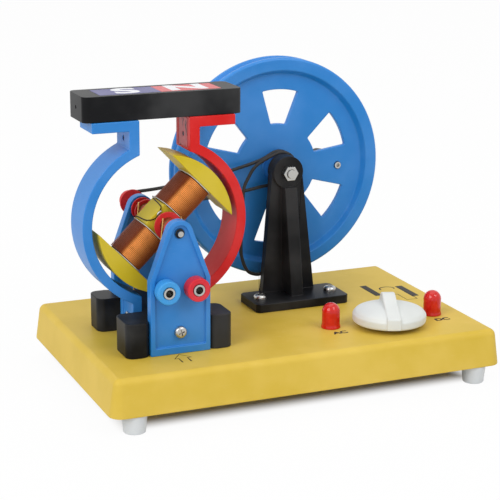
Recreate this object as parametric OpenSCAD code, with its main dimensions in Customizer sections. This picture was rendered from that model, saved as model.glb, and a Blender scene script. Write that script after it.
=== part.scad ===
// Hand-cranked demonstration dynamo: a coil turns between two pole arms under a bar magnet.
// X runs along the base, Y from front to rear, Z up; sizes are in millimetres.

/* [Base tray] */
// Length of the tray
base_len = 227; // [215:1:240]
// Depth of the tray, front to rear
base_depth = 148.4; // [134:0.2:160]
// Height of the tray's side wall
base_h = 20.2; // [17:0.2:26]
// Wall thickness of the tray
base_wall = 2.4; // [1.8:0.1:3.2]
// How far each side leans in from bottom to top
base_draft = 2.3; // [1:0.1:3.5]
// Corner rounding of the tray, seen from above
base_corner_r = 7; // [5:0.5:9]
// Rounding of the tray's top edge
base_edge_r = 4; // [3.4:0.1:5]

/* [Feet] */
// Height of a foot
foot_h = 10; // [6:0.2:12]
// Diameter of a foot where it meets the tray
foot_d = 13.6; // [11:0.1:14]
// Diameter of a foot at the floor
foot_tip_d = 11.6; // [9:0.1:12.4]
// Distance of a foot's centre from the tray's ends
foot_inset_x = 14; // [9:0.5:16]
// Distance of a foot's centre from the tray's front and rear
foot_inset_y = 7.2; // [7:0.1:7.6]
// Height of the boss above a foot, inside the tray
foot_boss_h = 9; // [7:0.5:11]

/* [Layout] */
// Armature axis, left of the tray's centre
axis_x = -65.5; // [-66.5:0.1:-62.5]
// Armature axis, above the tray
axis_h = 64.9; // [63:0.1:70]
// Wheel axis, right of the tray's centre
wheel_x = 28; // [27:0.2:36]
// Wheel axis, above the tray
wheel_h = 75.2; // [74:0.2:84]
// Front face of the front bearing stand
front_stand_y = -44.4; // [-48:0.1:-44]
// Front face of the rear bearing stand
rear_stand_y = 17; // [16.8:0.1:20]
// Middle of the armature, front to rear
armature_y = -12; // [-12.5:0.1:-11.8]
// Middle plane of the wheel's rim
wheel_y = 47.5; // [47.1:0.1:52.5]

/* [Plinth] */
// Height of the plinth
plinth_h = 18.8; // [16:0.2:24]
// Width of a corner post
post_w = 12.9; // [11:0.1:15]
// Rounding of a corner post
post_r = 4.4; // [1.5:0.1:6]
// Thickness of the plinth's rear wall, front to rear
rear_wall_t = 11.8; // [10.6:0.1:14]
// Diameter of the screws below the plinth
plinth_screw_d = 4; // [3:0.5:5]

/* [Bearing stands] */
// Width of a stand
stand_w = 33.2; // [28:0.1:34]
// Thickness of a stand over its rims
stand_t = 5.6; // [5:0.1:7]
// Height of the straight part of a stand's sides
stand_shoulder_h = 40.5; // [38:0.5:50]
// Radius of a stand's round top
stand_crown_r = 7.1; // [6.4:0.1:10]
// Width of the rim round a stand's recess
stand_rim = 2.6; // [1.5:0.1:2.8]
// Height of the sill below a stand's recess
stand_sill = 4; // [2:0.2:6]
// Depth of the recess on each side of a stand
stand_recess = 1.4; // [0.9:0.1:1.6]
// Radius of the relief round the shaft's bore
bore_relief_r = 2.6; // [2.4:0.1:3.6]
// Depth of the relief round the shaft's bore
bore_relief = 0.8; // [0.4:0.1:1]
// Height of a stand's screw above the tray
stand_screw_h = 11.6; // [8:0.2:14]
// Diameter of a stand's screw
stand_screw_d = 3; // [2.5:0.1:4]
// Diameter of a stand's screw head
stand_screw_head_d = 6.8; // [5.5:0.1:8]

/* [Sockets] */
// Height of the sockets above the tray
socket_h = 35.2; // [32:0.2:37]
// Distance between the two sockets
socket_gap = 16.5; // [15:0.1:17]
// Diameter of the plug that fits a socket
plug_d = 4; // [3.5:0.1:4.5]
// Outer diameter of a socket's metal sleeve
sleeve_d = 6.2; // [5.6:0.1:7]
// Depth of a socket's bore
socket_bore = 14; // [10:0.5:15]
// Outer diameter of a socket's collar
collar_d = 12.7; // [11:0.1:14]
// Length of a socket's collar
collar_len = 7; // [3:0.1:9]
// How far a sleeve's tail stands behind its stand
sleeve_tail = 8; // [7:0.1:9]
// Width of a socket's nut over its flats
socket_nut_w = 9; // [8.4:0.1:9.4]
// Thickness of a socket's nut
socket_nut_t = 2.8; // [2:0.1:3.4]

/* [Pole arms] */
// Inner radius of the pole ring
pole_bore_r = 40.5; // [40:0.1:42]
// Thickness of a pole arm round the ring
pole_t = 5.2; // [4:0.1:6]
// Depth of a pole arm, front to rear
pole_depth = 21.5; // [20:0.1:22]
// Distance between the two pole arms
pole_gap = 27.8; // [25:0.1:28.4]
// Thickness of an arm's upright neck
neck_t = 5.5; // [4.5:0.1:7]
// Height of the flanges' top above the armature axis
flange_rise = 56.4; // [53:0.2:62]
// Reach of a flange from the middle
flange_reach = 39.5; // [34:0.5:42]
// Thickness of a flange
flange_t = 5.5; // [4:0.1:7]
// Thickness of an arm's leg
leg_t = 5.2; // [4:0.1:6]
// Thickness of the iron strip let into an arm's neck
strip_t = 1.2; // [0.8:0.1:1.6]
// Depth of the iron strip, front to rear
strip_depth = 12.5; // [10:0.5:17]
// Height of the legs' screws above the tray
pole_screw_h = 13.9; // [8:0.1:15]
// Diameter of the legs' screws and of the rivets
pole_screw_d = 2.4; // [2:0.1:3]

/* [Magnet] */
// Length of the magnet's case
magnet_len = 87.5; // [80:0.5:92]
// Depth of the magnet's case, front to rear
magnet_depth = 25.5; // [24:0.5:30]
// Height of the magnet's case
magnet_h = 13.4; // [11:0.2:16]
// How far the case sits behind the pole arms' middle
magnet_back = 2.9; // [0:0.1:4]
// Wall thickness of the case
case_wall = 2.6; // [2:0.1:3.5]
// Corner rounding of the case
case_r = 3.4; // [2:0.1:5]
// Length of the two label halves together
label_len = 67; // [50:0.5:72]
// Depth of the labels, front to rear
label_depth = 18; // [12:0.5:20]
// Thickness of a label
label_t = 0.5; // [0.3:0.1:0.8]

/* [Armature] */
// Radius of the armature's shoes
armature_r = 37.3; // [35:0.1:37.8]
// Depth of the shoes, front to rear
armature_depth = 24; // [22:0.1:24.4]
// Turn of the coils' axis from level at rest
armature_turn = 43.8; // [0:0.1:90]
// Distance of a shoe's flat side from the axis
shoe_flat = 28.2; // [26:0.1:31]
// Length of the hub along the coils' axis
hub_len = 15; // [12:0.1:17]
// Width of the hub across the coils' axis
hub_w = 15.8; // [15:0.1:18]
// Width of the necks that carry the coils
core_w = 9; // [8:0.1:9.6]
// Depth of the necks and the hub, front to rear
core_depth = 17.6; // [16:0.1:18]
// Outer width of a coil
coil_w = 16; // [15:0.1:17]
// Outer depth of a coil, front to rear
coil_depth = 23.2; // [22.4:0.1:23.6]
// Corner rounding of a coil
coil_r = 5.2; // [4:0.1:6]
// Diameter of the drawn wire
wire_d = 0.9; // [0.6:0.05:0.95]
// Turns in the outer layer of a coil
coil_turns = 13; // [8:1:14]

/* [Shaft] */
// Diameter of the armature's shaft
shaft_d = 3.2; // [2.8:0.1:4]
// Diameter of the spools' flanges
spool_d = 12.8; // [11.6:0.1:14]
// Thickness of a spool's flange
spool_flange_t = 1.2; // [0.8:0.1:1.4]
// Depth of the cup in front of each spool
spool_cup = 2.2; // [1.4:0.1:2.4]
// Wall thickness of the cup
spool_cup_wall = 2.2; // [1.4:0.1:2.6]
// Diameter over the brass contact rings
ring_d = 9.4; // [8.6:0.1:10.4]
// Thickness of the brass contact rings
ring_t = 0.9; // [0.5:0.1:1.2]
// Width of one contact ring, front to rear
ring_w = 4.7; // [4.3:0.1:5]
// Length of the commutator's segments, front to rear
segment_w = 7.4; // [6.4:0.1:7.6]
// Slot between the two commutator segments
segment_slot = 1; // [0.5:0.1:2]
// Gap between the armature's shoes and the commutator
commutator_gap = 0.9; // [0.6:0.1:1.2]
// Gap between the armature's shoes and the slip rings
slip_ring_gap = 3; // [2.4:0.1:3.4]
// Diameter of the brush wire
brush_d = 0.9; // [0.6:0.1:1.2]

/* [Drive pulley] */
// Diameter of the small pulley's flanges
pulley_d = 11; // [9.6:0.1:12]
// Diameter at the bottom of the small pulley's groove
pulley_groove_d = 7.4; // [6:0.1:8]
// Length of the small pulley
pulley_len = 7; // [6:0.1:8]
// Middle plane of the small pulley's groove
pulley_y = 35.5; // [35:0.1:36.4]

/* [Wheel] */
// Diameter of the wheel
wheel_d = 129; // [120:0.5:134]
// Width of the wheel's rim
rim_w = 12.2; // [10:0.1:12.8]
// Thickness of the rim's front edge, seen from the front
rim_t = 7.3; // [6:0.1:9]
// Extra thickness of the rim where it meets the web
rim_draft = 2.2; // [1:0.1:3]
// Thickness of the web
web_t = 3.4; // [2.4:0.1:4.4]
// How far the web sits in front of the rim's middle plane
web_forward = 0.8; // [0:0.1:1.5]
// Depth of the belt groove in the rim
groove_depth = 3; // [2:0.1:4]
// Width of the belt groove at the rim
groove_w = 6; // [4:0.1:7]
// Diameter of the wheel's hub
wheel_hub_d = 17; // [14:0.1:17.6]
// Gap between the stand's boss and the wheel's hub
hub_gap = 0.4; // [0.2:0.1:0.6]
// How far the hub stands behind the web
hub_back = 3.1; // [2:0.1:6]
// Inner radius of the windows
window_r0 = 25.5; // [22:0.5:30]
// Outer radius of the windows
window_r1 = 45.7; // [42:0.1:50]
// Width of a window at its inner end
window_w0 = 10; // [7:0.5:14]
// Width of a window at its outer end
window_w1 = 23.6; // [18:0.2:28]
// Number of windows
window_count = 6; // [4:1:6]
// Turn of the wheel at rest
wheel_turn = -3; // [-30:1:30]

/* [Handle] */
// Radius at which the handle stands on the wheel
handle_r = 40; // [36:0.5:46]
// Length of the hand grip
grip_len = 26.6; // [20:0.2:34]
// Diameter of the hand grip
grip_d = 8.8; // [8:0.1:12]
// Diameter of the handle's spindle
spindle_d = 4; // [3:0.1:4.5]
// Diameter of the spindle's head
spindle_head_d = 5.6; // [5.2:0.1:6]

/* [Wheel stand] */
// Width of the stand's foot plate
plate_w = 58; // [54:0.5:64]
// Front edge of the foot plate
plate_y = 4; // [2:0.5:6]
// Depth of the foot plate, front to rear
plate_depth = 27; // [26:0.5:28.5]
// Thickness of the foot plate
plate_t = 5; // [4:0.1:7]
// Corner chamfer of the foot plate
plate_chamfer = 2; // [1:0.5:5]
// Width of the column at its foot
column_w = 33; // [28:0.5:40]
// Thickness of the column, front to rear
column_t = 5.2; // [5:0.1:6]
// How far the column's top leans back
column_lean = 4.4; // [3:0.1:5.4]
// Width of the column's front rib
rib_w = 7.6; // [5:0.1:10]
// How far the rib stands out at its foot
rib_foot = 13.2; // [10:0.1:15]
// How far the rib stands out below the boss
rib_top = 5.2; // [4:0.1:6]
// Diameter of the boss round the axle
boss_d = 18.8; // [16:0.1:21]
// How far the boss stands in front of the column
boss_proud = 1.8; // [1.2:0.1:2.4]
// Length of the boss
boss_len = 9; // [8:0.1:11]
// Distance between the foot plate's screws
plate_screw_gap = 44.6; // [42:0.2:48]
// Diameter of the foot plate's screws
plate_screw_d = 3.2; // [2.5:0.1:4]
// Diameter of the foot plate's screw heads
plate_screw_head_d = 7.4; // [6:0.1:8]
// Diameter of the wheel's axle
axle_d = 5; // [4:0.1:6]
// Width of the axle's nut and head over the flats
axle_nut_w = 8; // [7:0.1:9]
// Thickness of the axle's nut
axle_nut_t = 4; // [3:0.1:4.6]
// Thickness of the axle's head
axle_head_t = 3.5; // [2.5:0.1:4.5]

/* [Lamps] */
// Diameter of a lamp
lamp_d = 10; // [8:0.1:12]
// Diameter of a lamp's flared foot
lamp_foot_d = 11; // [10.2:0.1:13]
// Height of a lamp
lamp_h = 14.2; // [12:0.1:18]
// Distance of the lamps from the selector's axis
lamp_gap = 32; // [28:0.5:34]
// Distance of the lamps from the tray's middle line, to the front
lamp_front = 33.5; // [26:0.5:40]

/* [Selector] */
// Distance of the selector's axis from the tray's right end
selector_inset = 54.5; // [48:0.5:57]
// Selector axis, in front of the tray's middle line
selector_front = 42; // [39:0.5:45]
// Diameter of the selector's disc
knob_d = 41; // [36:0.5:44]
// Thickness of the disc's edge
knob_edge = 5.2; // [4:0.1:6]
// Rise of the disc's domed top above its edge
knob_dome = 0.8; // [0.4:0.1:1.6]
// Gap between the tray and the disc
knob_lift = 2.5; // [2.2:0.1:5]
// Height of the pointer's top above the disc's underside
pointer_h = 14.4; // [12:0.1:18]
// Width of the pointer at its tip
pointer_w = 8; // [6:0.1:10]
// Width of the pointer at its rear end
pointer_rear_w = 7; // [5:0.1:7.6]
// Turn of the pointer at rest
knob_turn = -20; // [-40:1:40]
// Diameter of the selector's shaft
selector_shaft_d = 5; // [4:0.1:6]
// Diameter of the switch below the tray
switch_d = 24; // [20:0.5:28]

/* [Belt] */
// Thickness of the belt's cord
belt_d = 2; // [1.6:0.1:2.2]

/* [Fits] */
// Radial clearance of a turning fit
run_clear = 0.05; // [0.02:0.01:0.09]
// Clearance between pieces that are fixed together
seat_clear = 0.1; // [0.05:0.05:0.2]
// Gap between a brush or the belt and what turns in it
touch_gap = 0.3; // [0.25:0.05:0.4]

/* [Hidden] */
$fn = 48;

// Colours of the mouldings and metals
yellow = "#d8bc46";
blue = "#3f86d2";
red = "#d92b2e";
black = "#26272a";
white = "#ecebe6";
steel = "#b9bcbf";
iron = "#6c6a68";
brass = "#b8975a";
copper = "#a85a28";

// Overshoot of a cut past the face that it opens
over = 1;

// Heights
base_top = foot_h + base_h;
axis_z = base_top + axis_h;
wheel_z = base_top + wheel_h;
plinth_top = base_top + plinth_h;
socket_z = base_top + socket_h;
flange_top = axis_z + flange_rise;

// Planes of the stands and the pole arms, front to rear
front_floor_y = front_stand_y + stand_recess;
front_back_y = front_stand_y + stand_t;
rear_back_y = rear_stand_y + stand_t;
rear_floor_y = rear_back_y - stand_recess;
pole_y0 = armature_y - pole_depth / 2;
pole_y1 = armature_y + pole_depth / 2;
shoe_y0 = armature_y - armature_depth / 2;
shoe_y1 = armature_y + armature_depth / 2;

// Planes of the wheel, front to rear
rim_y0 = wheel_y - rim_w / 2;
rim_y1 = wheel_y + rim_w / 2;
web_y0 = wheel_y - web_forward - web_t / 2;
web_y1 = web_y0 + web_t;
selector_x = base_len / 2 - selector_inset;
plate_top = base_top + plate_t;
column_y0 = plate_y + plate_depth - column_t;
column_rise = wheel_z + boss_d - plate_top;
boss_y0 = column_y0 + column_lean * (wheel_z - plate_top) / column_rise - boss_proud;
boss_y1 = boss_y0 + boss_len;
hub_y0 = boss_y1 + hub_gap;
hub_y1 = web_y1 + hub_back;
grip_y0 = web_y1 + touch_gap;
grip_y1 = grip_y0 + grip_len;
handle_x = wheel_x + handle_r * cos(wheel_turn);
handle_z = wheel_z + handle_r * sin(wheel_turn);

// The part's own frame: middle of its length and depth, at the floor
frame_mid_y = (grip_y1 - base_depth / 2) / 2;

// Profiles drawn in X and Z and carried from y0 to y1
module xz_prism(y0, y1) {
    translate([0, y1, 0])
        rotate([90, 0, 0])
            linear_extrude(height = y1 - y0)
                children();
}

// Profiles drawn in Y and Z and carried to both sides of the middle
module yz_prism(w) {
    translate([-w / 2, 0, 0])
        rotate([90, 0, 90])
            linear_extrude(height = w)
                children();
}

module y_rod(y0, y1, r) {
    translate([0, y0, 0])
        rotate([-90, 0, 0])
            cylinder(h = y1 - y0, r = r);
}

module x_rod(x0, x1, r) {
    translate([x0, 0, 0])
        rotate([0, 90, 0])
            cylinder(h = x1 - x0, r = r);
}

// Profiles of radius and Y, turned about the Y axis
module y_revolve() {
    rotate([-90, 0, 0])
        rotate_extrude()
            children();
}

module rod_between(p, q, r) {
    d = q - p;
    translate(p)
        rotate([0, acos(d.z / norm(d)), atan2(d.y, d.x)])
            cylinder(h = norm(d), r = r);
}

module rounded_rect(w, h, r) {
    square([w - 2 * r, h], center = true);
    square([w, h - 2 * r], center = true);
    for (sx = [-1, 1], sy = [-1, 1])
        translate([sx * (w / 2 - r), sy * (h / 2 - r)])
            circle(r = r);
}

module hex_prism(w, h) {
    cylinder(h = h, d = w / cos(30), $fn = 6);
}

module at_axis() {
    translate([axis_x, 0, axis_z])
        children();
}

module at_wheel() {
    translate([wheel_x, 0, wheel_z])
        children();
}

// Where a line from (half, z) touches the right side of a circle about (0, centre)
function tangent_point(half, z, centre, r) =
    let (
        reach = norm([half, centre - z]),
        run = sqrt(reach * reach - r * r),
        turn = atan2(centre - z, -half) - asin(r / reach)
    )
    [half + run * cos(turn), z + run * sin(turn)];

// Upright plate that narrows to a round top
module crowned_plate(half, foot, shoulder, centre, r) {
    t = tangent_point(half, shoulder, centre, r);
    polygon([[-half, foot], [half, foot], [half, shoulder], t, [-t.x, t.y], [-half, shoulder]]);
    translate([0, centre])
        circle(r = r);
}

// Tubes swept along a list of points, with the section turned from a fixed direction
function unit(v) = v / norm(v);

function tangent(path, i, closed) =
    let (
        n = len(path),
        before = closed ? path[(i + n - 1) % n] : path[max(i - 1, 0)],
        after = closed ? path[(i + 1) % n] : path[min(i + 1, n - 1)]
    )
    unit(after - before);

function ring_points(path, i, r, sides, fixed, closed) =
    let (
        t = tangent(path, i, closed),
        e = unit(cross(t, fixed)),
        f = cross(e, t)
    )
    [for (k = [0 : sides - 1]) path[i] + r * (cos(360 * k / sides) * e + sin(360 * k / sides) * f)];

module tube(path, r, sides, fixed, closed = false) {
    n = len(path);
    links = closed ? n : n - 1;
    last = (n - 1) * sides;
    points = [for (i = [0 : n - 1]) each ring_points(path, i, r, sides, fixed, closed)];
    skin = [
        for (i = [0 : links - 1], k = [0 : sides - 1])
            let (
                a = i * sides + k,
                b = i * sides + (k + 1) % sides,
                c = ((i + 1) % n) * sides + (k + 1) % sides,
                d = ((i + 1) % n) * sides + k
            )
            each [[a, b, c], [a, c, d]]
    ];
    first_cap = [for (k = [1 : sides - 2]) [0, k + 1, k]];
    last_cap = [for (k = [1 : sides - 2]) [last, last + k, last + k + 1]];
    polyhedron(points = points, faces = closed ? skin : concat(skin, first_cap, last_cap));
}

// Base tray

inner_corner_r = base_corner_r - base_wall;
inner_edge_r = base_edge_r - base_wall / 2;
foot_x = base_len / 2 - foot_inset_x;
foot_y = base_depth / 2 - foot_inset_y;
foot_screw_d = 3;
foot_screw_head_d = 6;
foot_screw_head_h = 2;
foot_recess = 3;
foot_boss_d = 10;
plinth_screw_y = [front_back_y + 5, rear_stand_y - 5];
plinth_screw_deep = stand_screw_h - stand_screw_d / 2 - 2;
plinth_screw_head_h = 2.4;
plinth_screw_len = plinth_screw_head_h + base_wall + plinth_screw_deep - over;
plate_mid_y = plate_y + plate_depth / 2;
plate_screw_y = column_y0 - 9.6;
plate_screw_len = plate_t + base_wall + 4;
plate_screw_head_h = 2.6;
lamp_lead_gap = 2.54;
lamp_lead_d = 0.6;
lamp_lead_len = 9;
switch_thread_d = 9.6;
switch_thread_h = 1.9;

module tray_form(inset, corner_r, edge_r, z0, z1) {
    hull()
        for (sx = [-1, 1], sy = [-1, 1]) {
            x = base_len / 2 - inset;
            y = base_depth / 2 - inset;
            translate([sx * (x - corner_r), sy * (y - corner_r), z0])
                cylinder(h = over, r = corner_r, $fn = 32);
            translate([sx * (x - base_draft - edge_r), sy * (y - base_draft - edge_r), z1 - edge_r])
                sphere(r = edge_r, $fn = 32);
        }
}

module at_feet() {
    for (sx = [-1, 1], sy = [-1, 1])
        translate([sx * foot_x, sy * foot_y, 0])
            children();
}

module at_lamps() {
    for (s = [-1, 1])
        translate([selector_x + s * lamp_gap, -lamp_front, 0])
            children();
}

module at_plate_screws() {
    for (s = [-1, 1])
        translate([wheel_x + s * plate_screw_gap / 2, plate_screw_y, 0])
            children();
}

module at_plinth_screws() {
    for (y = plinth_screw_y)
        translate([axis_x, y, 0])
            children();
}

module at_selector() {
    translate([selector_x, -selector_front, 0])
        children();
}

module tray_hole(r) {
    translate([0, 0, base_top - base_wall - over])
        cylinder(h = base_wall + 2 * over, r = r);
}

module lamp_lead_pair() {
    for (s = [-1, 1])
        translate([s * lamp_lead_gap / 2, 0, 0])
            children();
}

module base_tray() {
    color(yellow)
        difference() {
            union() {
                difference() {
                    tray_form(0, base_corner_r, base_edge_r, foot_h, base_top);
                    tray_form(base_wall, inner_corner_r, inner_edge_r, foot_h - over, base_top - base_wall);
                }
                at_feet()
                    translate([0, 0, foot_h])
                        cylinder(h = foot_boss_h, d = foot_boss_d);
            }
            at_feet()
                translate([0, 0, foot_h - over])
                    cylinder(h = foot_boss_h, r = foot_screw_d / 2 + seat_clear);
            at_plinth_screws()
                tray_hole(plinth_screw_d / 2 + seat_clear);
            at_plate_screws()
                tray_hole(plate_screw_d / 2 + seat_clear);
            at_lamps()
                lamp_lead_pair()
                    tray_hole(lamp_lead_d / 2 + seat_clear);
            at_selector()
                tray_hole(switch_thread_d / 2 + seat_clear);
        }
}

module feet() {
    color(white)
        at_feet()
            difference() {
                cylinder(h = foot_h, d1 = foot_tip_d, d2 = foot_d);
                translate([0, 0, -over])
                    cylinder(h = foot_h + 2 * over, r = foot_screw_d / 2 + seat_clear);
                translate([0, 0, -over])
                    cylinder(h = foot_recess + over, r = foot_screw_head_d / 2 + 3 * seat_clear);
            }
}

module foot_screws() {
    color(steel)
        at_feet() {
            translate([0, 0, foot_recess - foot_screw_head_h])
                cylinder(h = foot_screw_head_h, d = foot_screw_head_d);
            translate([0, 0, foot_recess - over])
                cylinder(h = foot_h + foot_boss_h / 2 - foot_recess + over, d = foot_screw_d);
        }
}

// Plinth

bar_half = pole_gap / 2 - seat_clear;
post_x0 = stand_w / 2 + seat_clear;
post_x1 = post_x0 + post_w;
front_wall_y0 = front_back_y + seat_clear;
front_wall_y1 = pole_y0 - touch_gap;
rear_wall_y1 = rear_stand_y - seat_clear;
rear_wall_y0 = rear_wall_y1 - rear_wall_t;
slip_brush_deep = 4;

// One pair of posts with the wall that joins them behind a stand
module post_pair(post_y0, post_y1, wall_y0, wall_y1) {
    for (s = [-1, 1])
        translate([s * (post_x0 + post_x1) / 2, (post_y0 + post_y1) / 2])
            rounded_rect(post_w, post_y1 - post_y0, post_r);
    translate([-post_x0 - post_r, wall_y0])
        square([2 * (post_x0 + post_r), wall_y1 - wall_y0]);
}

module plinth() {
    color(black)
        difference() {
            translate([axis_x, 0, base_top])
                linear_extrude(height = plinth_h) {
                    post_pair(front_stand_y, front_wall_y1, front_wall_y0, front_wall_y1);
                    post_pair(rear_wall_y0, rear_back_y, rear_wall_y0, rear_wall_y1);
                    translate([-bar_half, front_wall_y0])
                        square([2 * bar_half, rear_wall_y1 - front_wall_y0]);
                }
            translate([axis_x, 0, base_top + stand_screw_h]) {
                y_rod(front_wall_y0 - over, front_wall_y0 + stand_screw_deep, stand_hole_r);
                y_rod(rear_wall_y1 - stand_screw_deep, rear_wall_y1 + over, stand_hole_r);
            }
            translate([axis_x, armature_y, base_top + pole_screw_h])
                for (s = [0, 180])
                    rotate([0, 0, s])
                        x_rod(bar_half - pole_screw_deep, bar_half + over, pole_screw_d / 2 + seat_clear);
            at_plinth_screws()
                translate([0, 0, base_top - over])
                    cylinder(h = plinth_screw_deep + over, r = plinth_screw_d / 2 + seat_clear);
            for (i = [0, 1])
                brush_wire(slip_brush_foot(i), slip_brush_contact(i), brush_d / 2 + seat_clear);
        }
}

module plinth_screws() {
    color(steel)
        at_plinth_screws()
            translate([0, 0, base_top - base_wall - plinth_screw_head_h - touch_gap]) {
                cylinder(h = plinth_screw_head_h, d = 2 * plinth_screw_d);
                cylinder(h = plinth_screw_len, d = plinth_screw_d);
            }
}

// Bearing stands

stand_screw_deep = 7;
stand_hole_r = stand_screw_d / 2 + seat_clear;
stand_screw_head_h = 2.4;

module stand_outline(inset, foot) {
    crowned_plate(
        stand_w / 2 - inset,
        base_top + foot,
        base_top + stand_shoulder_h,
        axis_z,
        stand_crown_r - inset
    );
}

module bearing_stand(y0, relief_y0) {
    difference() {
        translate([axis_x, 0, 0])
            difference() {
                xz_prism(y0, y0 + stand_t)
                    stand_outline(0, 0);
                xz_prism(y0 - over, y0 + stand_recess)
                    stand_outline(stand_rim, stand_sill);
                xz_prism(y0 + stand_t - stand_recess, y0 + stand_t + over)
                    stand_outline(stand_rim, stand_sill);
            }
        at_axis() {
            y_rod(y0 - over, y0 + stand_t + over, shaft_d / 2 + run_clear);
            y_rod(relief_y0, relief_y0 + bore_relief, bore_relief_r);
        }
        translate([axis_x, 0, base_top + stand_screw_h])
            y_rod(y0 - over, y0 + stand_t + over, stand_hole_r);
    }
}

module at_sockets() {
    for (s = [-1, 1])
        translate([axis_x + s * socket_gap / 2, 0, socket_z])
            children();
}

module front_bearing_stand() {
    color(blue)
        difference() {
            bearing_stand(front_stand_y, front_floor_y);
            at_sockets() {
                y_rod(front_stand_y - over, front_back_y + over, sleeve_d / 2 + seat_clear);
                y_rod(front_stand_y - over, front_floor_y, collar_d / 2 + seat_clear);
            }
        }
}

module rear_bearing_stand() {
    color(blue)
        bearing_stand(rear_stand_y, rear_floor_y - bore_relief);
}

// Pan-head screw along Y with its head at y and its shank towards the middle
module stand_screw(y, inward) {
    translate([axis_x, y, base_top + stand_screw_h])
        rotate([0, 0, inward > 0 ? 0 : 180]) {
            translate([0, -stand_screw_head_h, 0])
                rotate([-90, 0, 0])
                    cylinder(
                        h = stand_screw_head_h,
                        d1 = 0.7 * stand_screw_head_d,
                        d2 = stand_screw_head_d
                    );
            y_rod(-over, stand_t - stand_recess + stand_screw_deep - over, stand_screw_d / 2);
        }
}

module stand_screws() {
    color(steel) {
        stand_screw(front_floor_y, 1);
        stand_screw(rear_floor_y, -1);
    }
}

// Pole arms and their iron strips

pole_screw_deep = 6;
pole_screw_head_d = 4.4;
pole_screw_head_h = 1.4;
rivet_z = flange_top - flange_t - 5;
rivet_sunk = 0.4;
leg_recess = 1;
leg_recess_w = 14;
leg_recess_h = 21.8;
strip_margin = 1.2;
bore_rise = sqrt(pow(pole_bore_r, 2) - pow(pole_gap / 2, 2));
strip_z0 = bore_rise + strip_margin;
strip_z1 = flange_rise - strip_margin;

// Ring of a given inner and outer radius, right of a given line
module half_ring(r0, r1, x) {
    intersection() {
        difference() {
            circle(r = r1);
            circle(r = r0);
        }
        translate([x, -r1 - over])
            square([r1 + over, 2 * (r1 + over)]);
    }
}

// Right-hand pole arm, drawn about the armature axis
module arm_outline() {
    x0 = pole_gap / 2;
    leg_foot = base_top - axis_z;
    half_ring(pole_bore_r, pole_bore_r + pole_t, x0);
    translate([x0, bore_rise])
        square([neck_t, flange_rise - bore_rise]);
    translate([x0, flange_rise - flange_t])
        square([flange_reach - x0, flange_t]);
    translate([x0, leg_foot])
        square([leg_t, -bore_rise - leg_foot]);
}

module pole_arm() {
    leg_x1 = pole_gap / 2 + leg_t;
    difference() {
        xz_prism(pole_y0, pole_y1)
            arm_outline();
        translate([0, armature_y, base_top + pole_screw_h - axis_z])
            x_rod(0, leg_x1 + over, pole_screw_d / 2 + seat_clear);
        translate([0, armature_y, rivet_z - axis_z])
            x_rod(0, pole_gap / 2 + neck_t + over, pole_screw_d / 2 + seat_clear);
        translate([leg_x1 - leg_recess, armature_y - leg_recess_w / 2, base_top - axis_z - over])
            cube([leg_recess + over, leg_recess_w, leg_recess_h + over]);
        translate([-over, 0, 0])
            strip_block(seat_clear);
        strip_block(seat_clear);
    }
}

// Flat strip in the inner face of a neck, or its pocket when grown by the clearance
module strip_block(grow) {
    d = strip_depth / 2 + grow;
    translate([pole_gap / 2, armature_y - d, strip_z0 - grow])
        cube([strip_t + grow, 2 * d, strip_z1 - strip_z0 + 2 * grow]);
}

module iron_strip() {
    difference() {
        strip_block(0);
        translate([0, armature_y, rivet_z - axis_z])
            x_rod(0, pole_gap / 2 + neck_t, pole_screw_d / 2 + seat_clear);
    }
}

module on_right() {
    at_axis()
        children();
}

module on_left() {
    at_axis()
        mirror([1, 0, 0])
            children();
}

module pole_south() {
    color(blue)
        on_left()
            pole_arm();
}

module pole_north() {
    color(red)
        on_right()
            pole_arm();
}

module iron_south() {
    color(iron)
        on_left()
            iron_strip();
}

module iron_north() {
    color(iron)
        on_right()
            iron_strip();
}

module pole_screw() {
    x = pole_gap / 2 + leg_t - leg_recess;
    translate([0, armature_y, base_top + pole_screw_h - axis_z]) {
        x_rod(x, x + pole_screw_head_h, pole_screw_head_d / 2);
        x_rod(bar_half - pole_screw_deep + over, x + over / 2, pole_screw_d / 2);
    }
}

module pole_screws() {
    color(steel) {
        on_left()
            pole_screw();
        on_right()
            pole_screw();
    }
}

module rivet() {
    translate([0, armature_y, rivet_z - axis_z])
        x_rod(pole_gap / 2, pole_gap / 2 + neck_t - rivet_sunk, pole_screw_d / 2);
}

module strip_rivets() {
    color(steel) {
        on_left()
            rivet();
        on_right()
            rivet();
    }
}

// Magnet in its case

magnet_y = armature_y + magnet_back;
case_z0 = flange_top + seat_clear;
case_z1 = case_z0 + magnet_h;
end_hole_r = 0.9;
end_hole_deep = 1.6;

module at_magnet(z) {
    translate([axis_x, magnet_y, z])
        children();
}

module magnet_case() {
    cavity_h = magnet_h - case_wall;
    cavity = [magnet_len - 2 * case_wall, magnet_depth - 2 * case_wall, cavity_h + over];
    color(black)
        difference() {
            at_magnet(case_z0)
                linear_extrude(height = magnet_h)
                    rounded_rect(magnet_len, magnet_depth, case_r);
            at_magnet(case_z0 + cavity_h / 2 - over / 2)
                cube(cavity, center = true);
            at_magnet(case_z1 - label_t)
                translate([-label_len / 2 - seat_clear, -label_depth / 2 - seat_clear, 0])
                    cube([label_len + 2 * seat_clear, label_depth + 2 * seat_clear, label_t + over]);
            at_magnet((case_z0 + case_z1) / 2)
                for (turn = [0, 180])
                    rotate([0, 0, turn])
                        x_rod(magnet_len / 2 - end_hole_deep, magnet_len / 2 + over, end_hole_r);
        }
}

module bar_magnet() {
    inset = case_wall + seat_clear;
    h = magnet_h - case_wall - seat_clear;
    color(steel)
        at_magnet(case_z0 + h / 2)
            cube([magnet_len - 2 * inset, magnet_depth - 2 * inset, h], center = true);
}

module label_half(side) {
    at_magnet(case_z1 - label_t)
        translate([side < 0 ? -label_len / 2 : 0, -label_depth / 2, 0])
            cube([label_len / 2 - seat_clear, label_depth, label_t]);
}

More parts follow.
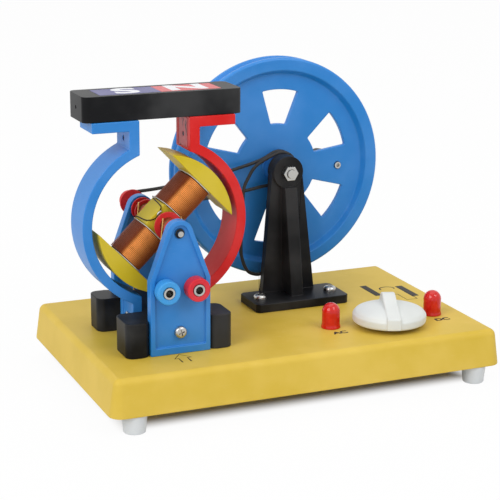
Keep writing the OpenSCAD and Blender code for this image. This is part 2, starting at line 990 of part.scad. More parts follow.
module label_south() {
    color("#2b4fa0")
        label_half(-1);
}

module label_north() {
    color(red)
        label_half(1);
}

// Sockets

sleeve_proud = 0.2;
socket_face_y = front_floor_y - collar_len;
sleeve_y0 = socket_face_y - sleeve_proud;
sleeve_y1 = front_back_y + sleeve_tail;
nut_y0 = front_back_y - stand_recess;
tag_t = 0.9;
tag_w = 1.5;
tag_y = sleeve_y1 - tag_t - 0.6;

module socket_collar(side) {
    translate([axis_x + side * socket_gap / 2, 0, socket_z])
        difference() {
            y_rod(socket_face_y, front_floor_y, collar_d / 2);
            y_rod(socket_face_y - over, front_floor_y + over, sleeve_d / 2 + seat_clear);
        }
}

module socket_collar_blue() {
    color(blue)
        socket_collar(-1);
}

module socket_collar_red() {
    color(red)
        socket_collar(1);
}

module socket_sleeves() {
    color(steel)
        at_sockets()
            difference() {
                y_rod(sleeve_y0, sleeve_y1, sleeve_d / 2);
                y_rod(sleeve_y0 - over, sleeve_y0 + socket_bore, plug_d / 2);
            }
}

module socket_nuts() {
    color(brass)
        at_sockets()
            difference() {
                translate([0, nut_y0, 0])
                    rotate([-90, 30, 0])
                        hex_prism(socket_nut_w, socket_nut_t);
                y_rod(nut_y0 - over, nut_y0 + socket_nut_t + over, sleeve_d / 2 + seat_clear);
            }
}

// Brushes

brush_past = 6;
brush_x = ring_d / 2 + brush_d / 2 + touch_gap;
slip_brush_spread = 9;

// Wire from its foot past the side of a contact ring
module brush_wire(foot, contact, r) {
    rod_between(foot, contact + brush_past * unit(contact - foot), r);
}

module commutator_brushes() {
    wire_y = tag_y + tag_t / 2;
    color(brass)
        for (s = [-1, 1]) {
            tag_x = axis_x + s * socket_gap / 2;
            tag_r = sleeve_d / 2 + seat_clear + tag_w;
            translate([tag_x, 0, socket_z])
                difference() {
                    y_rod(tag_y, tag_y + tag_t, tag_r);
                    y_rod(tag_y - over, tag_y + tag_t + over, sleeve_d / 2 + seat_clear);
                }
            foot = [tag_x, wire_y, socket_z + tag_r - brush_d / 2];
            brush_wire(foot, [axis_x + s * brush_x, wire_y, axis_z], brush_d / 2);
        }
}

// Foot of a slip-ring brush in the plinth: the first ring's on the left, the second's on the right
function slip_brush_foot(i) =
    [axis_x + (2 * i - 1) * slip_brush_spread, slip_ring_y(i) + ring_w / 2, plinth_top - slip_brush_deep];

function slip_brush_contact(i) = [axis_x + (2 * i - 1) * brush_x, slip_ring_y(i) + ring_w / 2, axis_z];

module slip_ring_brushes() {
    color(brass)
        for (i = [0, 1])
            brush_wire(slip_brush_foot(i), slip_brush_contact(i), brush_d / 2);
}

// Armature, drawn with the coils' axis along X

spool_y0 = shoe_y0 - commutator_gap - segment_w - 2 * spool_flange_t;
spool_y1 = shoe_y0 - commutator_gap;
drum_r = ring_d / 2 - ring_t - seat_clear;
shaft_y0 = front_floor_y + seat_clear;
pulley_y0 = pulley_y - pulley_len / 2;
pulley_y1 = pulley_y + pulley_len / 2;
shaft_y1 = pulley_y1 + 0.6;
bore_r = shaft_d / 2 + seat_clear / 2;
coil_u0 = hub_len / 2 + seat_clear;
coil_u1 = shoe_flat - seat_clear;
coil_inner_w = coil_w - 2 * wire_d - 2 * seat_clear;
coil_inner_depth = coil_depth - 2 * wire_d - 2 * seat_clear;

// First plane of slip ring 0 or 1
function slip_ring_y(i) = shoe_y1 + slip_ring_gap + spool_flange_t + i * (ring_w + spool_flange_t);

module turned() {
    at_axis()
        rotate([0, -armature_turn, 0])
            children();
}

module armature_shaft() {
    color(steel)
        at_axis()
            y_rod(shaft_y0, shaft_y1, shaft_d / 2);
}

module coil_former() {
    hub_y0 = armature_y - core_depth / 2;
    color(yellow)
        turned()
            difference() {
                union() {
                    xz_prism(shoe_y0, shoe_y1)
                        for (turn = [0, 180])
                            rotate(turn)
                                intersection() {
                                    circle(r = armature_r);
                                    translate([shoe_flat, -armature_r])
                                        square([armature_r, 2 * armature_r]);
                                }
                    xz_prism(hub_y0, hub_y0 + core_depth) {
                        square([2 * shoe_flat + over, core_w], center = true);
                        rounded_rect(hub_len, hub_w, 1.2);
                    }
                }
                y_rod(hub_y0 - over, hub_y0 + core_depth + over, bore_r);
            }
}

// Plain inner layers of a coil, round a neck of the former
module coil_core(side) {
    color(copper)
        turned()
            rotate([0, side > 0 ? 0 : 180, 0])
                translate([coil_u0, armature_y, 0])
                    rotate([0, 90, 0])
                        linear_extrude(height = coil_u1 - coil_u0)
                            difference() {
                                rounded_rect(coil_inner_w, coil_inner_depth, coil_r - wire_d);
                                square([core_w, core_depth] + 2 * seat_clear * [1, 1], center = true);
                            }
}

module coil_core_upper() {
    coil_core(1);
}

module coil_core_lower() {
    coil_core(-1);
}

// Outer layer of a coil: one wire wound side by side round the core
rings_per_corner = 5;
rings_per_turn = 4 * rings_per_corner;
wire_sides = 6;
coil_pitch = (coil_u1 - coil_u0 - wire_d - 2 * seat_clear) / coil_turns;

// Point k of a turn: round the corners of the coil, depth along Y and width along Z
function coil_loop(k) =
    let (
        corner = floor((k % rings_per_turn) / rings_per_corner),
        turn = 90 * corner + 90 * (k % rings_per_corner) / (rings_per_corner - 1),
        r = coil_r - wire_d / 2,
        sy = corner == 0 || corner == 3 ? 1 : -1,
        sz = corner < 2 ? 1 : -1
    )
    [
        armature_y + sy * (coil_depth / 2 - coil_r) + r * cos(turn),
        sz * (coil_w / 2 - coil_r) + r * sin(turn)
    ];

function coil_point(k) =
    let (p = coil_loop(k))
    [coil_u0 + seat_clear + wire_d / 2 + coil_pitch * k / rings_per_turn, p.x, p.y];

coil_path = [for (k = [0 : coil_turns * rings_per_turn]) coil_point(k)];
coil_last = len(coil_path) - 1;
coil_lead_in = coil_path[0] - wire_d * unit([0, 0, 1]);
coil_lead_out = coil_path[coil_last] + wire_d * unit([0, 0, 1]);
coil_run = concat([coil_lead_in], coil_path, [coil_lead_out]);

// Least gap between neighbouring turns, measured on points
turn_gaps = [
    for (i = [0 : coil_last - rings_per_turn + 2], step = [-3 : 3])
        let (j = min(i + rings_per_turn + step, coil_last))
        norm(coil_path[j] - coil_path[i]) - wire_d
];
echo(least_gap_between_turns = min(turn_gaps));

module winding(side) {
    color(copper)
        turned()
            rotate([0, side > 0 ? 0 : 180, 0])
                tube(coil_run, wire_d / 2, wire_sides, [1, 0, 0]);
}

module winding_upper() {
    winding(1);
}

module winding_lower() {
    winding(-1);
}

// Flanged spool on the shaft, with a flange at each listed plane and a cup in front of the first
module spool(flanges) {
    first = flanges[0];
    last = flanges[len(flanges) - 1];
    difference() {
        union() {
            y_rod(first, last + spool_flange_t, drum_r);
            y_rod(first - spool_cup, first + spool_flange_t, spool_d / 2);
            for (y = flanges)
                y_rod(y, y + spool_flange_t, spool_d / 2);
        }
        y_rod(first - spool_cup - over, first, spool_d / 2 - spool_cup_wall);
        y_rod(first - over, last + spool_flange_t + over, bore_r);
    }
}

module contact_ring(y0, w) {
    difference() {
        y_rod(y0 + seat_clear / 2, y0 + w - seat_clear / 2, ring_d / 2);
        y_rod(y0 - over, y0 + w + over, ring_d / 2 - ring_t);
    }
}

module commutator_spool() {
    color(red)
        turned()
            spool([spool_y0, spool_y1 - spool_flange_t]);
}

module commutator_segments() {
    y0 = spool_y0 + spool_flange_t;
    color(brass)
        turned()
            difference() {
                contact_ring(y0, segment_w);
                translate([-ring_d / 2 - over, y0 - over, -segment_slot / 2])
                    cube([ring_d + 2 * over, segment_w + 2 * over, segment_slot]);
            }
}

module slip_ring_spool() {
    color(red)
        turned()
            spool([for (i = [0 : 2]) slip_ring_y(i) - spool_flange_t]);
}

module slip_rings() {
    color(brass)
        turned()
            for (i = [0, 1])
                contact_ring(slip_ring_y(i), ring_w);
}

module drive_pulley() {
    lip = pulley_len / 6;
    groove = belt_d / 2;
    color(red)
        at_axis()
            y_revolve()
                polygon([
                    [bore_r, pulley_y0],
                    [pulley_d / 2, pulley_y0],
                    [pulley_d / 2, pulley_y0 + lip],
                    [pulley_groove_d / 2, pulley_y - groove],
                    [pulley_groove_d / 2, pulley_y + groove],
                    [pulley_d / 2, pulley_y1 - lip],
                    [pulley_d / 2, pulley_y1],
                    [bore_r, pulley_y1]
                ]);
}

// Wheel

wheel_r = wheel_d / 2;
groove_r = wheel_r - groove_depth;
rim_edge = 1;

function window_half(r) =
    window_w0 / 2 + (r - window_r0) * (window_w1 - window_w0) / 2 / (window_r1 - window_r0);

module window() {
    r0 = window_r0 - 3;
    r1 = window_r1 + 3;
    intersection() {
        difference() {
            circle(r = window_r1);
            circle(r = window_r0);
        }
        polygon([
            [r0, -window_half(r0)],
            [r1, -window_half(r1)],
            [r1, window_half(r1)],
            [r0, window_half(r0)]
        ]);
    }
}

module drive_wheel() {
    bore = axle_d / 2 + run_clear;
    hub = wheel_hub_d / 2;
    rim_in = wheel_r - rim_t;
    color(blue)
        difference() {
            at_wheel()
                difference() {
                    y_revolve()
                        polygon([
                            [bore, hub_y0],
                            [hub, hub_y0],
                            [hub, web_y0],
                            [rim_in - rim_draft, web_y0],
                            [rim_in, rim_y0],
                            [wheel_r - rim_edge, rim_y0],
                            [wheel_r, rim_y0 + rim_edge],
                            [wheel_r, wheel_y - groove_w / 2],
                            [groove_r, wheel_y - belt_d / 2],
                            [groove_r, wheel_y + belt_d / 2],
                            [wheel_r, wheel_y + groove_w / 2],
                            [wheel_r, rim_y1 - rim_edge],
                            [wheel_r - rim_edge, rim_y1],
                            [rim_in, rim_y1],
                            [rim_in - rim_draft, web_y1],
                            [hub, web_y1],
                            [hub, hub_y1],
                            [bore, hub_y1]
                        ]);
                    xz_prism(web_y0 - over, web_y1 + over)
                        for (i = [0 : window_count - 1])
                            rotate(wheel_turn + 360 / window_count * (i + 0.5))
                                window();
                }
            translate([handle_x, 0, handle_z])
                y_rod(web_y0 - over, web_y1 + over, spindle_d / 2 + seat_clear / 2);
        }
}

// Handle

spindle_proud = 0.8;
spindle_head_h = 1.5;
head_recess = 2.2;
spindle_y1 = grip_y1 - head_recess + spindle_head_h;
spindle_end_bore = 2;
grip_swell = 0.8;

module handle_spindle() {
    color(steel)
        translate([handle_x, 0, handle_z])
            difference() {
                union() {
                    y_rod(web_y0 - spindle_proud, spindle_y1, spindle_d / 2);
                    y_rod(spindle_y1 - spindle_head_h + touch_gap / 2, spindle_y1, spindle_head_d / 2);
                }
                y_rod(web_y0 - spindle_proud - over, web_y0 + over, spindle_end_bore / 2);
            }
}

// Barrel-shaped grip: a little fuller in the middle than at the ends
function grip_radius(t) = grip_d / 2 - grip_swell * pow(2 * t - 1, 2);

module handle_grip() {
    steps = 8;
    bore = spindle_d / 2 + run_clear;
    head = spindle_head_d / 2 + touch_gap;
    barrel = [for (i = [0 : steps]) [grip_radius(i / steps), grip_y0 + grip_len * i / steps]];
    color(black)
        translate([handle_x, 0, handle_z])
            y_revolve()
                polygon(concat(
                    [[bore, grip_y0]],
                    barrel,
                    [[head, grip_y1], [head, grip_y1 - head_recess], [bore, grip_y1 - head_recess]]
                ));
}

// Wheel stand

rib_top_z = wheel_z - boss_d / 2 + over;
nut_y1 = boss_y0;
bolt_past = 1.2;
head_y0 = hub_y1 + touch_gap;

module foot_plate() {
    w = plate_w / 2;
    c = plate_chamfer;
    polygon([
        [-w + c, 0], [w - c, 0], [w, c], [w, plate_depth - c],
        [w - c, plate_depth], [-w + c, plate_depth], [-w, plate_depth - c], [-w, c]
    ]);
}

module stand_column() {
    intersection() {
        xz_prism(column_y0 - over, boss_y1 + over)
            crowned_plate(column_w / 2, plate_top - over, plate_top, wheel_z, boss_d / 2);
        yz_prism(plate_w)
            polygon([
                [column_y0, plate_top - over],
                [column_y0 + column_t, plate_top - over],
                [column_y0 + column_lean + column_t, wheel_z + boss_d],
                [column_y0 + column_lean, wheel_z + boss_d]
            ]);
    }
}

module stand_rib() {
    lean_at_top = column_lean * (rib_top_z - plate_top) / column_rise;
    y_top = column_y0 + lean_at_top;
    yz_prism(rib_w)
        polygon([
            [column_y0 - rib_foot, plate_top - over],
            [column_y0 + over, plate_top - over],
            [y_top + over, rib_top_z],
            [y_top - rib_top, rib_top_z]
        ]);
}

module wheel_stand() {
    color(black)
        difference() {
            union() {
                translate([wheel_x, plate_y, base_top])
                    linear_extrude(height = plate_t)
                        foot_plate();
                translate([wheel_x, 0, 0]) {
                    stand_column();
                    stand_rib();
                }
                at_wheel()
                    y_rod(boss_y0, boss_y1, boss_d / 2);
            }
            at_wheel()
                y_rod(column_y0 - rib_foot, boss_y1 + over, axle_d / 2 + seat_clear / 2);
            at_plate_screws()
                translate([0, 0, base_top - over])
                    cylinder(h = plate_t + 2 * over, r = plate_screw_d / 2 + seat_clear);
        }
}

module wheel_stand_screws() {
    color(steel)
        at_plate_screws() {
            translate([0, 0, plate_top])
                cylinder(h = plate_screw_head_h, d1 = plate_screw_head_d, d2 = 0.7 * plate_screw_head_d);
            translate([0, 0, plate_top - plate_screw_len])
                cylinder(h = plate_screw_len + over, d = plate_screw_d);
        }
}

module wheel_axle() {
    color(steel)
        at_wheel() {
            y_rod(nut_y1 - axle_nut_t - bolt_past, head_y0 + over, axle_d / 2);
            translate([0, head_y0, 0])
                rotate([-90, 0, 0])
                    hex_prism(axle_nut_w, axle_head_t);
        }
}

module axle_nut() {
    color(steel)
        at_wheel()
            difference() {
                translate([0, nut_y1 - axle_nut_t, 0])
                    rotate([-90, 0, 0])
                        hex_prism(axle_nut_w, axle_nut_t);
                y_rod(nut_y1 - axle_nut_t - over, nut_y1 + over, axle_d / 2 + seat_clear / 2);
            }
}

// Lamps

lamp_flare_h = 2.6;

module lamp(side) {
    dome_z = lamp_h - lamp_d / 2;
    color(red)
        translate([selector_x + side * lamp_gap, -lamp_front, base_top]) {
            cylinder(h = lamp_flare_h, d1 = lamp_foot_d, d2 = lamp_d);
            cylinder(h = dome_z, d = lamp_d);
            translate([0, 0, dome_z])
                sphere(d = lamp_d);
        }
}

module ac_lamp() {
    lamp(-1);
}

module dc_lamp() {
    lamp(1);
}

module lamp_leads() {
    color(steel)
        at_lamps()
            lamp_lead_pair()
                translate([0, 0, base_top - lamp_lead_len])
                    cylinder(h = lamp_lead_len, d = lamp_lead_d);
}

// Selector

knob_z0 = base_top + knob_lift;
switch_z1 = base_top - base_wall - seat_clear;
switch_h = 11;
switch_z0 = switch_z1 - switch_h;
switch_floor = 1.5;
selector_shaft_z0 = switch_z0 + switch_floor + touch_gap;
selector_shaft_z1 = knob_z0 + knob_edge + knob_dome / 2;
pointer_back = 17;
pointer_peak = 6;
switch_nut_w = 13;

module selector_switch() {
    color("#3a3f45")
        at_selector()
            difference() {
                union() {
                    translate([0, 0, switch_z0])
                        cylinder(h = switch_h, d = switch_d);
                    translate([0, 0, switch_z1 - over])
                        cylinder(h = over + base_top + switch_thread_h - switch_z1, d = switch_thread_d);
                }
                translate([0, 0, switch_z0 + switch_floor])
                    cylinder(h = base_top + switch_thread_h - switch_z0, r = selector_shaft_d / 2 + run_clear);
            }
}

module switch_nut() {
    color(steel)
        at_selector()
            difference() {
                translate([0, 0, base_top])
                    hex_prism(switch_nut_w, switch_thread_h);
                translate([0, 0, base_top - over])
                    cylinder(h = switch_thread_h + 2 * over, r = switch_thread_d / 2 + seat_clear);
            }
}

module selector_shaft() {
    color(steel)
        at_selector()
            translate([0, 0, selector_shaft_z0])
                cylinder(h = selector_shaft_z1 - selector_shaft_z0, d = selector_shaft_d);
}

// Domed disc with a humped finger bar that narrows to the rear
module selector_knob() {
    r = knob_d / 2;
    color(white)
        at_selector()
            rotate([0, 0, knob_turn])
                translate([0, 0, knob_z0])
                    difference() {
                        union() {
                            rotate_extrude()
                                polygon([
                                    [0, 0], [r - 0.8, 0], [r, 0.8],
                                    [r, knob_edge - 0.6], [r - 0.8, knob_edge],
                                    [0.7 * r, knob_edge + 0.5 * knob_dome],
                                    [0.4 * r, knob_edge + 0.85 * knob_dome],
                                    [0, knob_edge + knob_dome]
                                ]);
                            intersection() {
                                yz_prism(pointer_w)
                                    polygon([
                                        [-r + 0.4, 0.6], [pointer_back, 0.6],
                                        [pointer_back - 0.8, 0.6 * pointer_h],
                                        [pointer_back - 3, 0.8 * pointer_h],
                                        [pointer_back - 6.5, 0.94 * pointer_h],
                                        [pointer_peak, pointer_h], [pointer_peak - 3, 0.95 * pointer_h],
                                        [-r + 0.4, knob_edge]
                                    ]);
                                linear_extrude(height = pointer_h + over)
                                    polygon([
                                        [-pointer_w / 2, -r], [pointer_w / 2, -r],
                                        [pointer_rear_w / 2, r], [-pointer_rear_w / 2, r]
                                    ]);
                            }
                        }
                        translate([0, 0, -over])
                            cylinder(
                                h = selector_shaft_z1 - knob_z0 + over + seat_clear,
                                r = selector_shaft_d / 2 + seat_clear / 2
                            );
                    }
}

// Belt: one closed loop, off the rim, twice over the wheel's hub with its slack hanging between

belt_pulley_r = pulley_groove_d / 2 + touch_gap + belt_d / 2;
belt_hub_r = wheel_hub_d / 2 + touch_gap + belt_d / 2;
belt_sides = 8;

// Arc about an axis, from one angle to another, moving from plane y0 to plane y1
function belt_arc(x, z, r, a0, a1, y0, y1, steps) =
    [
        for (i = [0 : steps])
            let (t = i / steps, a = a0 + (a1 - a0) * t)
            [x + r * cos(a), y0 + (y1 - y0) * t, z + r * sin(a)]
    ];

// Free stretches, measured from the wheel's axis and the front of its hub, for a span of 93.8
belt_scale = (wheel_x - axis_x) / 93.8;
hub_lap_y = hub_y0 + belt_scale * 5.4;
slack_lap_y = hub_y0 + belt_scale * 1.4;
lower_lap_y = hub_y0 + belt_scale * 3.4;
upper_run = [[-76, -0.1, -4.8], [-52, 1.8, -2.4], [-29.6, 3.6, 1.3], [-12, 4.8, 5.4]];
slack_run = [
    [9.6, 4.6, -14], [8.2, 3.6, -33], [4, 2, -50], [-2, 0.8, -58.4], [-12.6, 0, -62],
    [-17.7, -0.2, -61.6], [-21.9, -0.4, -59], [-25, -0.5, -52.2], [-26.1, -0.6, -44],
    [-25.2, -0.6, -26], [-24.5, -0.4, -10.7], [-21.5, 0.1, -3.8], [-15.7, 1.1, 3.4]
];
lower_run = [[-9, 3.6, -9.8], [-21.7, 2.6, -11.4], [-46, 1, -13.4], [-72, -0.6, -15]];

function from_hub(run) = [for (p = run) [wheel_x, hub_y0, wheel_z] + belt_scale * p];

belt_route = concat(
    belt_arc(axis_x, axis_z, belt_pulley_r, 265, 95, pulley_y, pulley_y, 4),
    from_hub(upper_run),
    belt_arc(wheel_x, wheel_z, belt_hub_r, 108, 0, hub_lap_y, hub_lap_y, 4),
    from_hub(slack_run),
    belt_arc(wheel_x, wheel_z, belt_hub_r, 118, -90, slack_lap_y, lower_lap_y, 6),
    from_hub(lower_run)
);

// Closed curve through the route's points, with one more point between each two
function curve_point(p, i, t) =
    let (
        n = len(p),
        a = p[(i + n - 1) % n],
        b = p[i],
        c = p[(i + 1) % n],
        d = p[(i + 2) % n]
    )
    0.5 * (2 * b + (c - a) * t + (2 * a - 5 * b + 4 * c - d) * t * t + (3 * b - 3 * c + d - a) * t * t * t);

belt_path = [for (i = [0 : len(belt_route) - 1], t = [0, 0.5]) curve_point(belt_route, i, t)];

module drive_belt() {
    color(black)
        tube(belt_path, belt_d / 2, belt_sides, [0, 1, 0], closed = true);
}

// The part's frame: every piece is moved so that the origin lies below the middle
module placed() {
    translate([0, -frame_mid_y, 0])
        children();
}

placed() base_tray();
placed() feet();
placed() foot_screws();
placed() plinth();
placed() plinth_screws();
placed() front_bearing_stand();
placed() rear_bearing_stand();
placed() stand_screws();
placed() pole_south();
placed() pole_north();
placed() iron_south();
placed() iron_north();
placed() pole_screws();
placed() strip_rivets();
placed() magnet_case();
placed() bar_magnet();
placed() label_south();
placed() label_north();
placed() socket_collar_blue();
placed() socket_collar_red();
placed() socket_sleeves();
placed() socket_nuts();
placed() commutator_brushes();
placed() slip_ring_brushes();
placed() ac_lamp();
placed() dc_lamp();
placed() lamp_leads();
placed() selector_switch();
placed() switch_nut();
placed() wheel_stand();
placed() wheel_stand_screws();
placed() wheel_axle();
placed() axle_nut();
placed() drive_belt();
placed() armature_shaft();
placed() coil_former();
placed() coil_core_upper();
placed() coil_core_lower();
placed() winding_upper();
placed() winding_lower();
placed() commutator_spool();
placed() commutator_segments();
placed() slip_ring_spool();
placed() slip_rings();
placed() drive_pulley();
placed() drive_wheel();
placed() handle_spindle();
placed() handle_grip();
placed() selector_knob();
placed() selector_shaft();
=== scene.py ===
import math

import bpy
from mathutils import Matrix, Vector


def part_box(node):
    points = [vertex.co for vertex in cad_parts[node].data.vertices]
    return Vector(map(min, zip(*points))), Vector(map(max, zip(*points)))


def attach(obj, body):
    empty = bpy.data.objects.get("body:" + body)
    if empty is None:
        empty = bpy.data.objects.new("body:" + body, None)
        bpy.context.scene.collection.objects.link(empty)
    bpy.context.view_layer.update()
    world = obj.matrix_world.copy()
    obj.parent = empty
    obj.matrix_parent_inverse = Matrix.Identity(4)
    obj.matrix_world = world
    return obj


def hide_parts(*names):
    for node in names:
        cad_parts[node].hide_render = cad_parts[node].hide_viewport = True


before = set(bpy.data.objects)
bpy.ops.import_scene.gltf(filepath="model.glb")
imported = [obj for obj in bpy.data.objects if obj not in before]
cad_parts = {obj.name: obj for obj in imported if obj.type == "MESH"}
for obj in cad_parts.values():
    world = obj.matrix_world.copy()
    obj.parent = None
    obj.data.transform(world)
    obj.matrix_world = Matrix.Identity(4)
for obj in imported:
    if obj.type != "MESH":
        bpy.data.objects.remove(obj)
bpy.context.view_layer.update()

# Camera: a long lens, left of the part's front and a little above it, as in the photograph.
# The eye is in the part's own frame; the lens is for a 36 mm wide sensor and a square picture.

mm = 0.001
eye = Vector((-332.4, -763.65, 294.4)) * mm
yaw = math.radians(23.053)
pitch = math.radians(15.167)
roll = math.radians(0.298)
ahead = Vector((
    math.sin(yaw) * math.cos(pitch),
    math.cos(yaw) * math.cos(pitch),
    -math.sin(pitch),
))
level = Vector((math.cos(yaw), -math.sin(yaw), 0))
upright = level.cross(ahead)
right = level * math.cos(roll) + upright * math.sin(roll)
up = upright * math.cos(roll) - level * math.sin(roll)
aimed = Matrix((right, up, -ahead)).transposed().to_euler()
bpy.ops.object.select_all(action="DESELECT")
bpy.ops.object.camera_add(location=eye, rotation=aimed)
camera = bpy.context.object
camera.data.lens = 110.67
camera.data.sensor_width = 36
bpy.context.scene.camera = camera
bpy.context.scene.view_settings.view_transform = "Standard"


# Studio: a white table with the part's soft shadow, two softboxes in front and one overhead.
# Table and room look white to the camera and in reflections, and light the part at a plain level.
# The shadow lies under the tray and fades out in front of its feet, as in the photograph.

class Value:
    """One output of a shader node; arithmetic on values adds Math nodes."""

    def __init__(self, tree, socket):
        self.tree = tree
        self.socket = socket

    def node(self, kind, settings, sockets, out=0):
        """A new node: its settings are set first, then the values or links of its sockets."""
        made = self.tree.nodes.new("ShaderNode" + kind)
        for key, setting in settings.items():
            setattr(made, key, setting)
        for key, value in sockets.items():
            if isinstance(value, Value):
                self.tree.links.new(value.socket, made.inputs[key])
            else:
                made.inputs[key].default_value = value
        return Value(self.tree, made.outputs[out])

    def maths(self, operation, first, second):
        return self.node("Math", {"operation": operation}, {0: first, 1: second})

    def __add__(self, other):
        return self.maths("ADD", self, other)

    __radd__ = __add__

    def __sub__(self, other):
        return self.maths("SUBTRACT", self, other)

    def __rsub__(self, other):
        return self.maths("SUBTRACT", other, self)

    def __mul__(self, other):
        return self.maths("MULTIPLY", self, other)

    __rmul__ = __mul__

    def either(self, other):
        return self.maths("MAXIMUM", self, other)

    def least(self, other):
        return self.maths("MINIMUM", self, other)

    def along(self, axis):
        return self.node("SeparateXYZ", {}, {0: self}, out=axis)

    def noise(self, scale, detail=2, rough=0.5, stretch=(1, 1, 1)):
        spot = self.node("VectorMath", {"operation": "MULTIPLY"}, {0: self, 1: stretch})
        return self.node("TexNoise", {}, {
            "Vector": spot, "Scale": scale, "Detail": detail, "Roughness": rough,
        })

    def between(self, low, high):
        """0 up to low and 1 from high on, with a smooth step from one to the other."""
        smooth = {"interpolation_type": "SMOOTHSTEP"}
        return self.node("MapRange", smooth, {0: self, 1: low, 2: high})

    def blend(self, first, second):
        """The first colour where the value is 0, the second where it is 1."""
        return self.node("Mix", {"data_type": "RGBA"}, {0: self, 6: first, 7: second}, out=2)

    def bump(self, strength, distance):
        return self.node("Bump", {}, {"Strength": strength, "Distance": distance, "Height": self})

    def into(self, shader, name):
        self.tree.links.new(self.socket, shader.inputs[name])


def finish(name):
    """A new material: its shader, and the place on the surface as the first value."""
    material = bpy.data.materials.new(name)
    material.use_nodes = True
    tree = material.node_tree
    place = Value(tree, tree.nodes.new("ShaderNodeTexCoord").outputs["Object"])
    return material, tree.nodes["Principled BSDF"], place


def seen_white(tree):
    """1 for the rays that show the room itself, 0 for those that only carry its light."""
    rays = tree.nodes.new("ShaderNodeLightPath")
    camera_ray, glossy_ray, clear_ray = (
        Value(tree, rays.outputs[name])
        for name in ("Is Camera Ray", "Is Glossy Ray", "Is Transmission Ray")
    )
    return camera_ray.either(glossy_ray).either(clear_ray)


room_light = 0.6
room = bpy.data.worlds.new("studio_room")
room.use_nodes = True
bpy.context.scene.world = room
backdrop = room.node_tree.nodes["Background"]
backdrop.inputs["Color"].default_value = (1, 1, 1, 1)
(room_light + (1 - room_light) * seen_white(room.node_tree)).into(backdrop, "Strength")

table_size = 9
table_white = 0.96
shade_start, shade_full = 5 * mm, 22 * mm
bpy.ops.object.select_all(action="DESELECT")
bpy.ops.mesh.primitive_plane_add(size=table_size)
table = bpy.context.object
table.name = "table"
table_paint, matt, place = finish("table_paint")
matt.inputs["Base Color"].default_value = (0.8, 0.8, 0.8, 1)
matt.inputs["Roughness"].default_value = 0.9
matt.inputs["Specular IOR Level"].default_value = 0.1
x, y = place.along(0), place.along(1)
tray_low, tray_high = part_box("base_tray")
from_sides = (x - tray_low.x).least(tray_high.x - x)
from_ends = (y - tray_low.y).least(tray_high.y - y)
shade = from_sides.least(from_ends).between(shade_start, shade_full)
tree = table_paint.node_tree
seen = seen_white(tree)
lit = Value(tree, matt.outputs[0])
glow = seen.node("Emission", {}, {"Color": (1, 1, 1, 1), "Strength": 1.0})
surface = seen.node("MixShader", {}, {0: table_white * seen * (1 - shade), 1: lit, 2: glow})
surface.into(tree.nodes["Material Output"], "Surface")
table.data.materials.append(table_paint)

lights_aim = Vector((0, 0, 70 * mm))
for spot, power, size in (
    (Vector((-1.45, -0.75, 1.15)), 17, 1.1),
    (Vector((0.75, -1.3, 1.6)), 12, 1.0),
    (Vector((0.1, 0.35, 1.7)), 6, 1.5),
):
    bpy.ops.object.light_add(type="AREA", location=spot)
    softbox = bpy.context.object
    softbox.data.energy = power
    softbox.data.size = size
    softbox.rotation_euler = (lights_aim - spot).to_track_quat("-Z", "Y").to_euler()


# Base tray: one yellow plastic moulding, hollow below, with a satin grain and soft edges.
# It carries everything else, and its holes for screws, lamps and switch are moulded in.

def toned(colour, factor):
    """The colour made darker below 1, or paler above it, as a shader takes it."""
    if factor <= 1:
        return tuple(c * factor for c in colour) + (1,)
    return tuple(c + (1 - c) * (factor - 1) for c in colour) + (1,)


def moulded(name, colour, rough, grain=0.1, shine=0.2, wear=0.16):
    """Moulded plastic: pigment that drifts a little, fine mould grain, faint rubbed marks."""
    material, shader, place = finish(name)
    dark, pale, worn = toned(colour, 0.92), toned(colour, 1.03), toned(colour, 1.3)
    drift = place.noise(scale=34, detail=3)
    skin = place.noise(scale=2100, detail=2, rough=0.6)
    rubbed = place.noise(scale=330, detail=4, rough=0.65, stretch=(1, 1, 5)).between(0.6, 0.76)
    pigment = drift.between(0.3, 0.7).blend(dark, pale)
    (wear * rubbed).blend(pigment, worn).into(shader, "Base Color")
    uneven = 0.16 * (drift - 0.5) + 0.06 * (skin - 0.5) - 0.06 * rubbed
    (rough + uneven).into(shader, "Roughness")
    (skin + 0.25 * rubbed).bump(grain, distance=0.05 * mm).into(shader, "Normal")
    shader.inputs["Specular IOR Level"].default_value = shine
    return material


most_mends = 20
least_fold = 0.0001 * mm * mm
same_plane = 0.005 * mm
same_way = 0.9999


def crossed_face(mesh):
    """The first face of many sides that folds over itself, or None."""
    mesh.calc_loop_triangles()
    for part in mesh.loop_triangles:
        face = mesh.polygons[part.polygon_index]
        folded = part.area > least_fold and part.normal.dot(face.normal) < 0
        if folded and len(face.vertices) > 4:
            return face
    return None


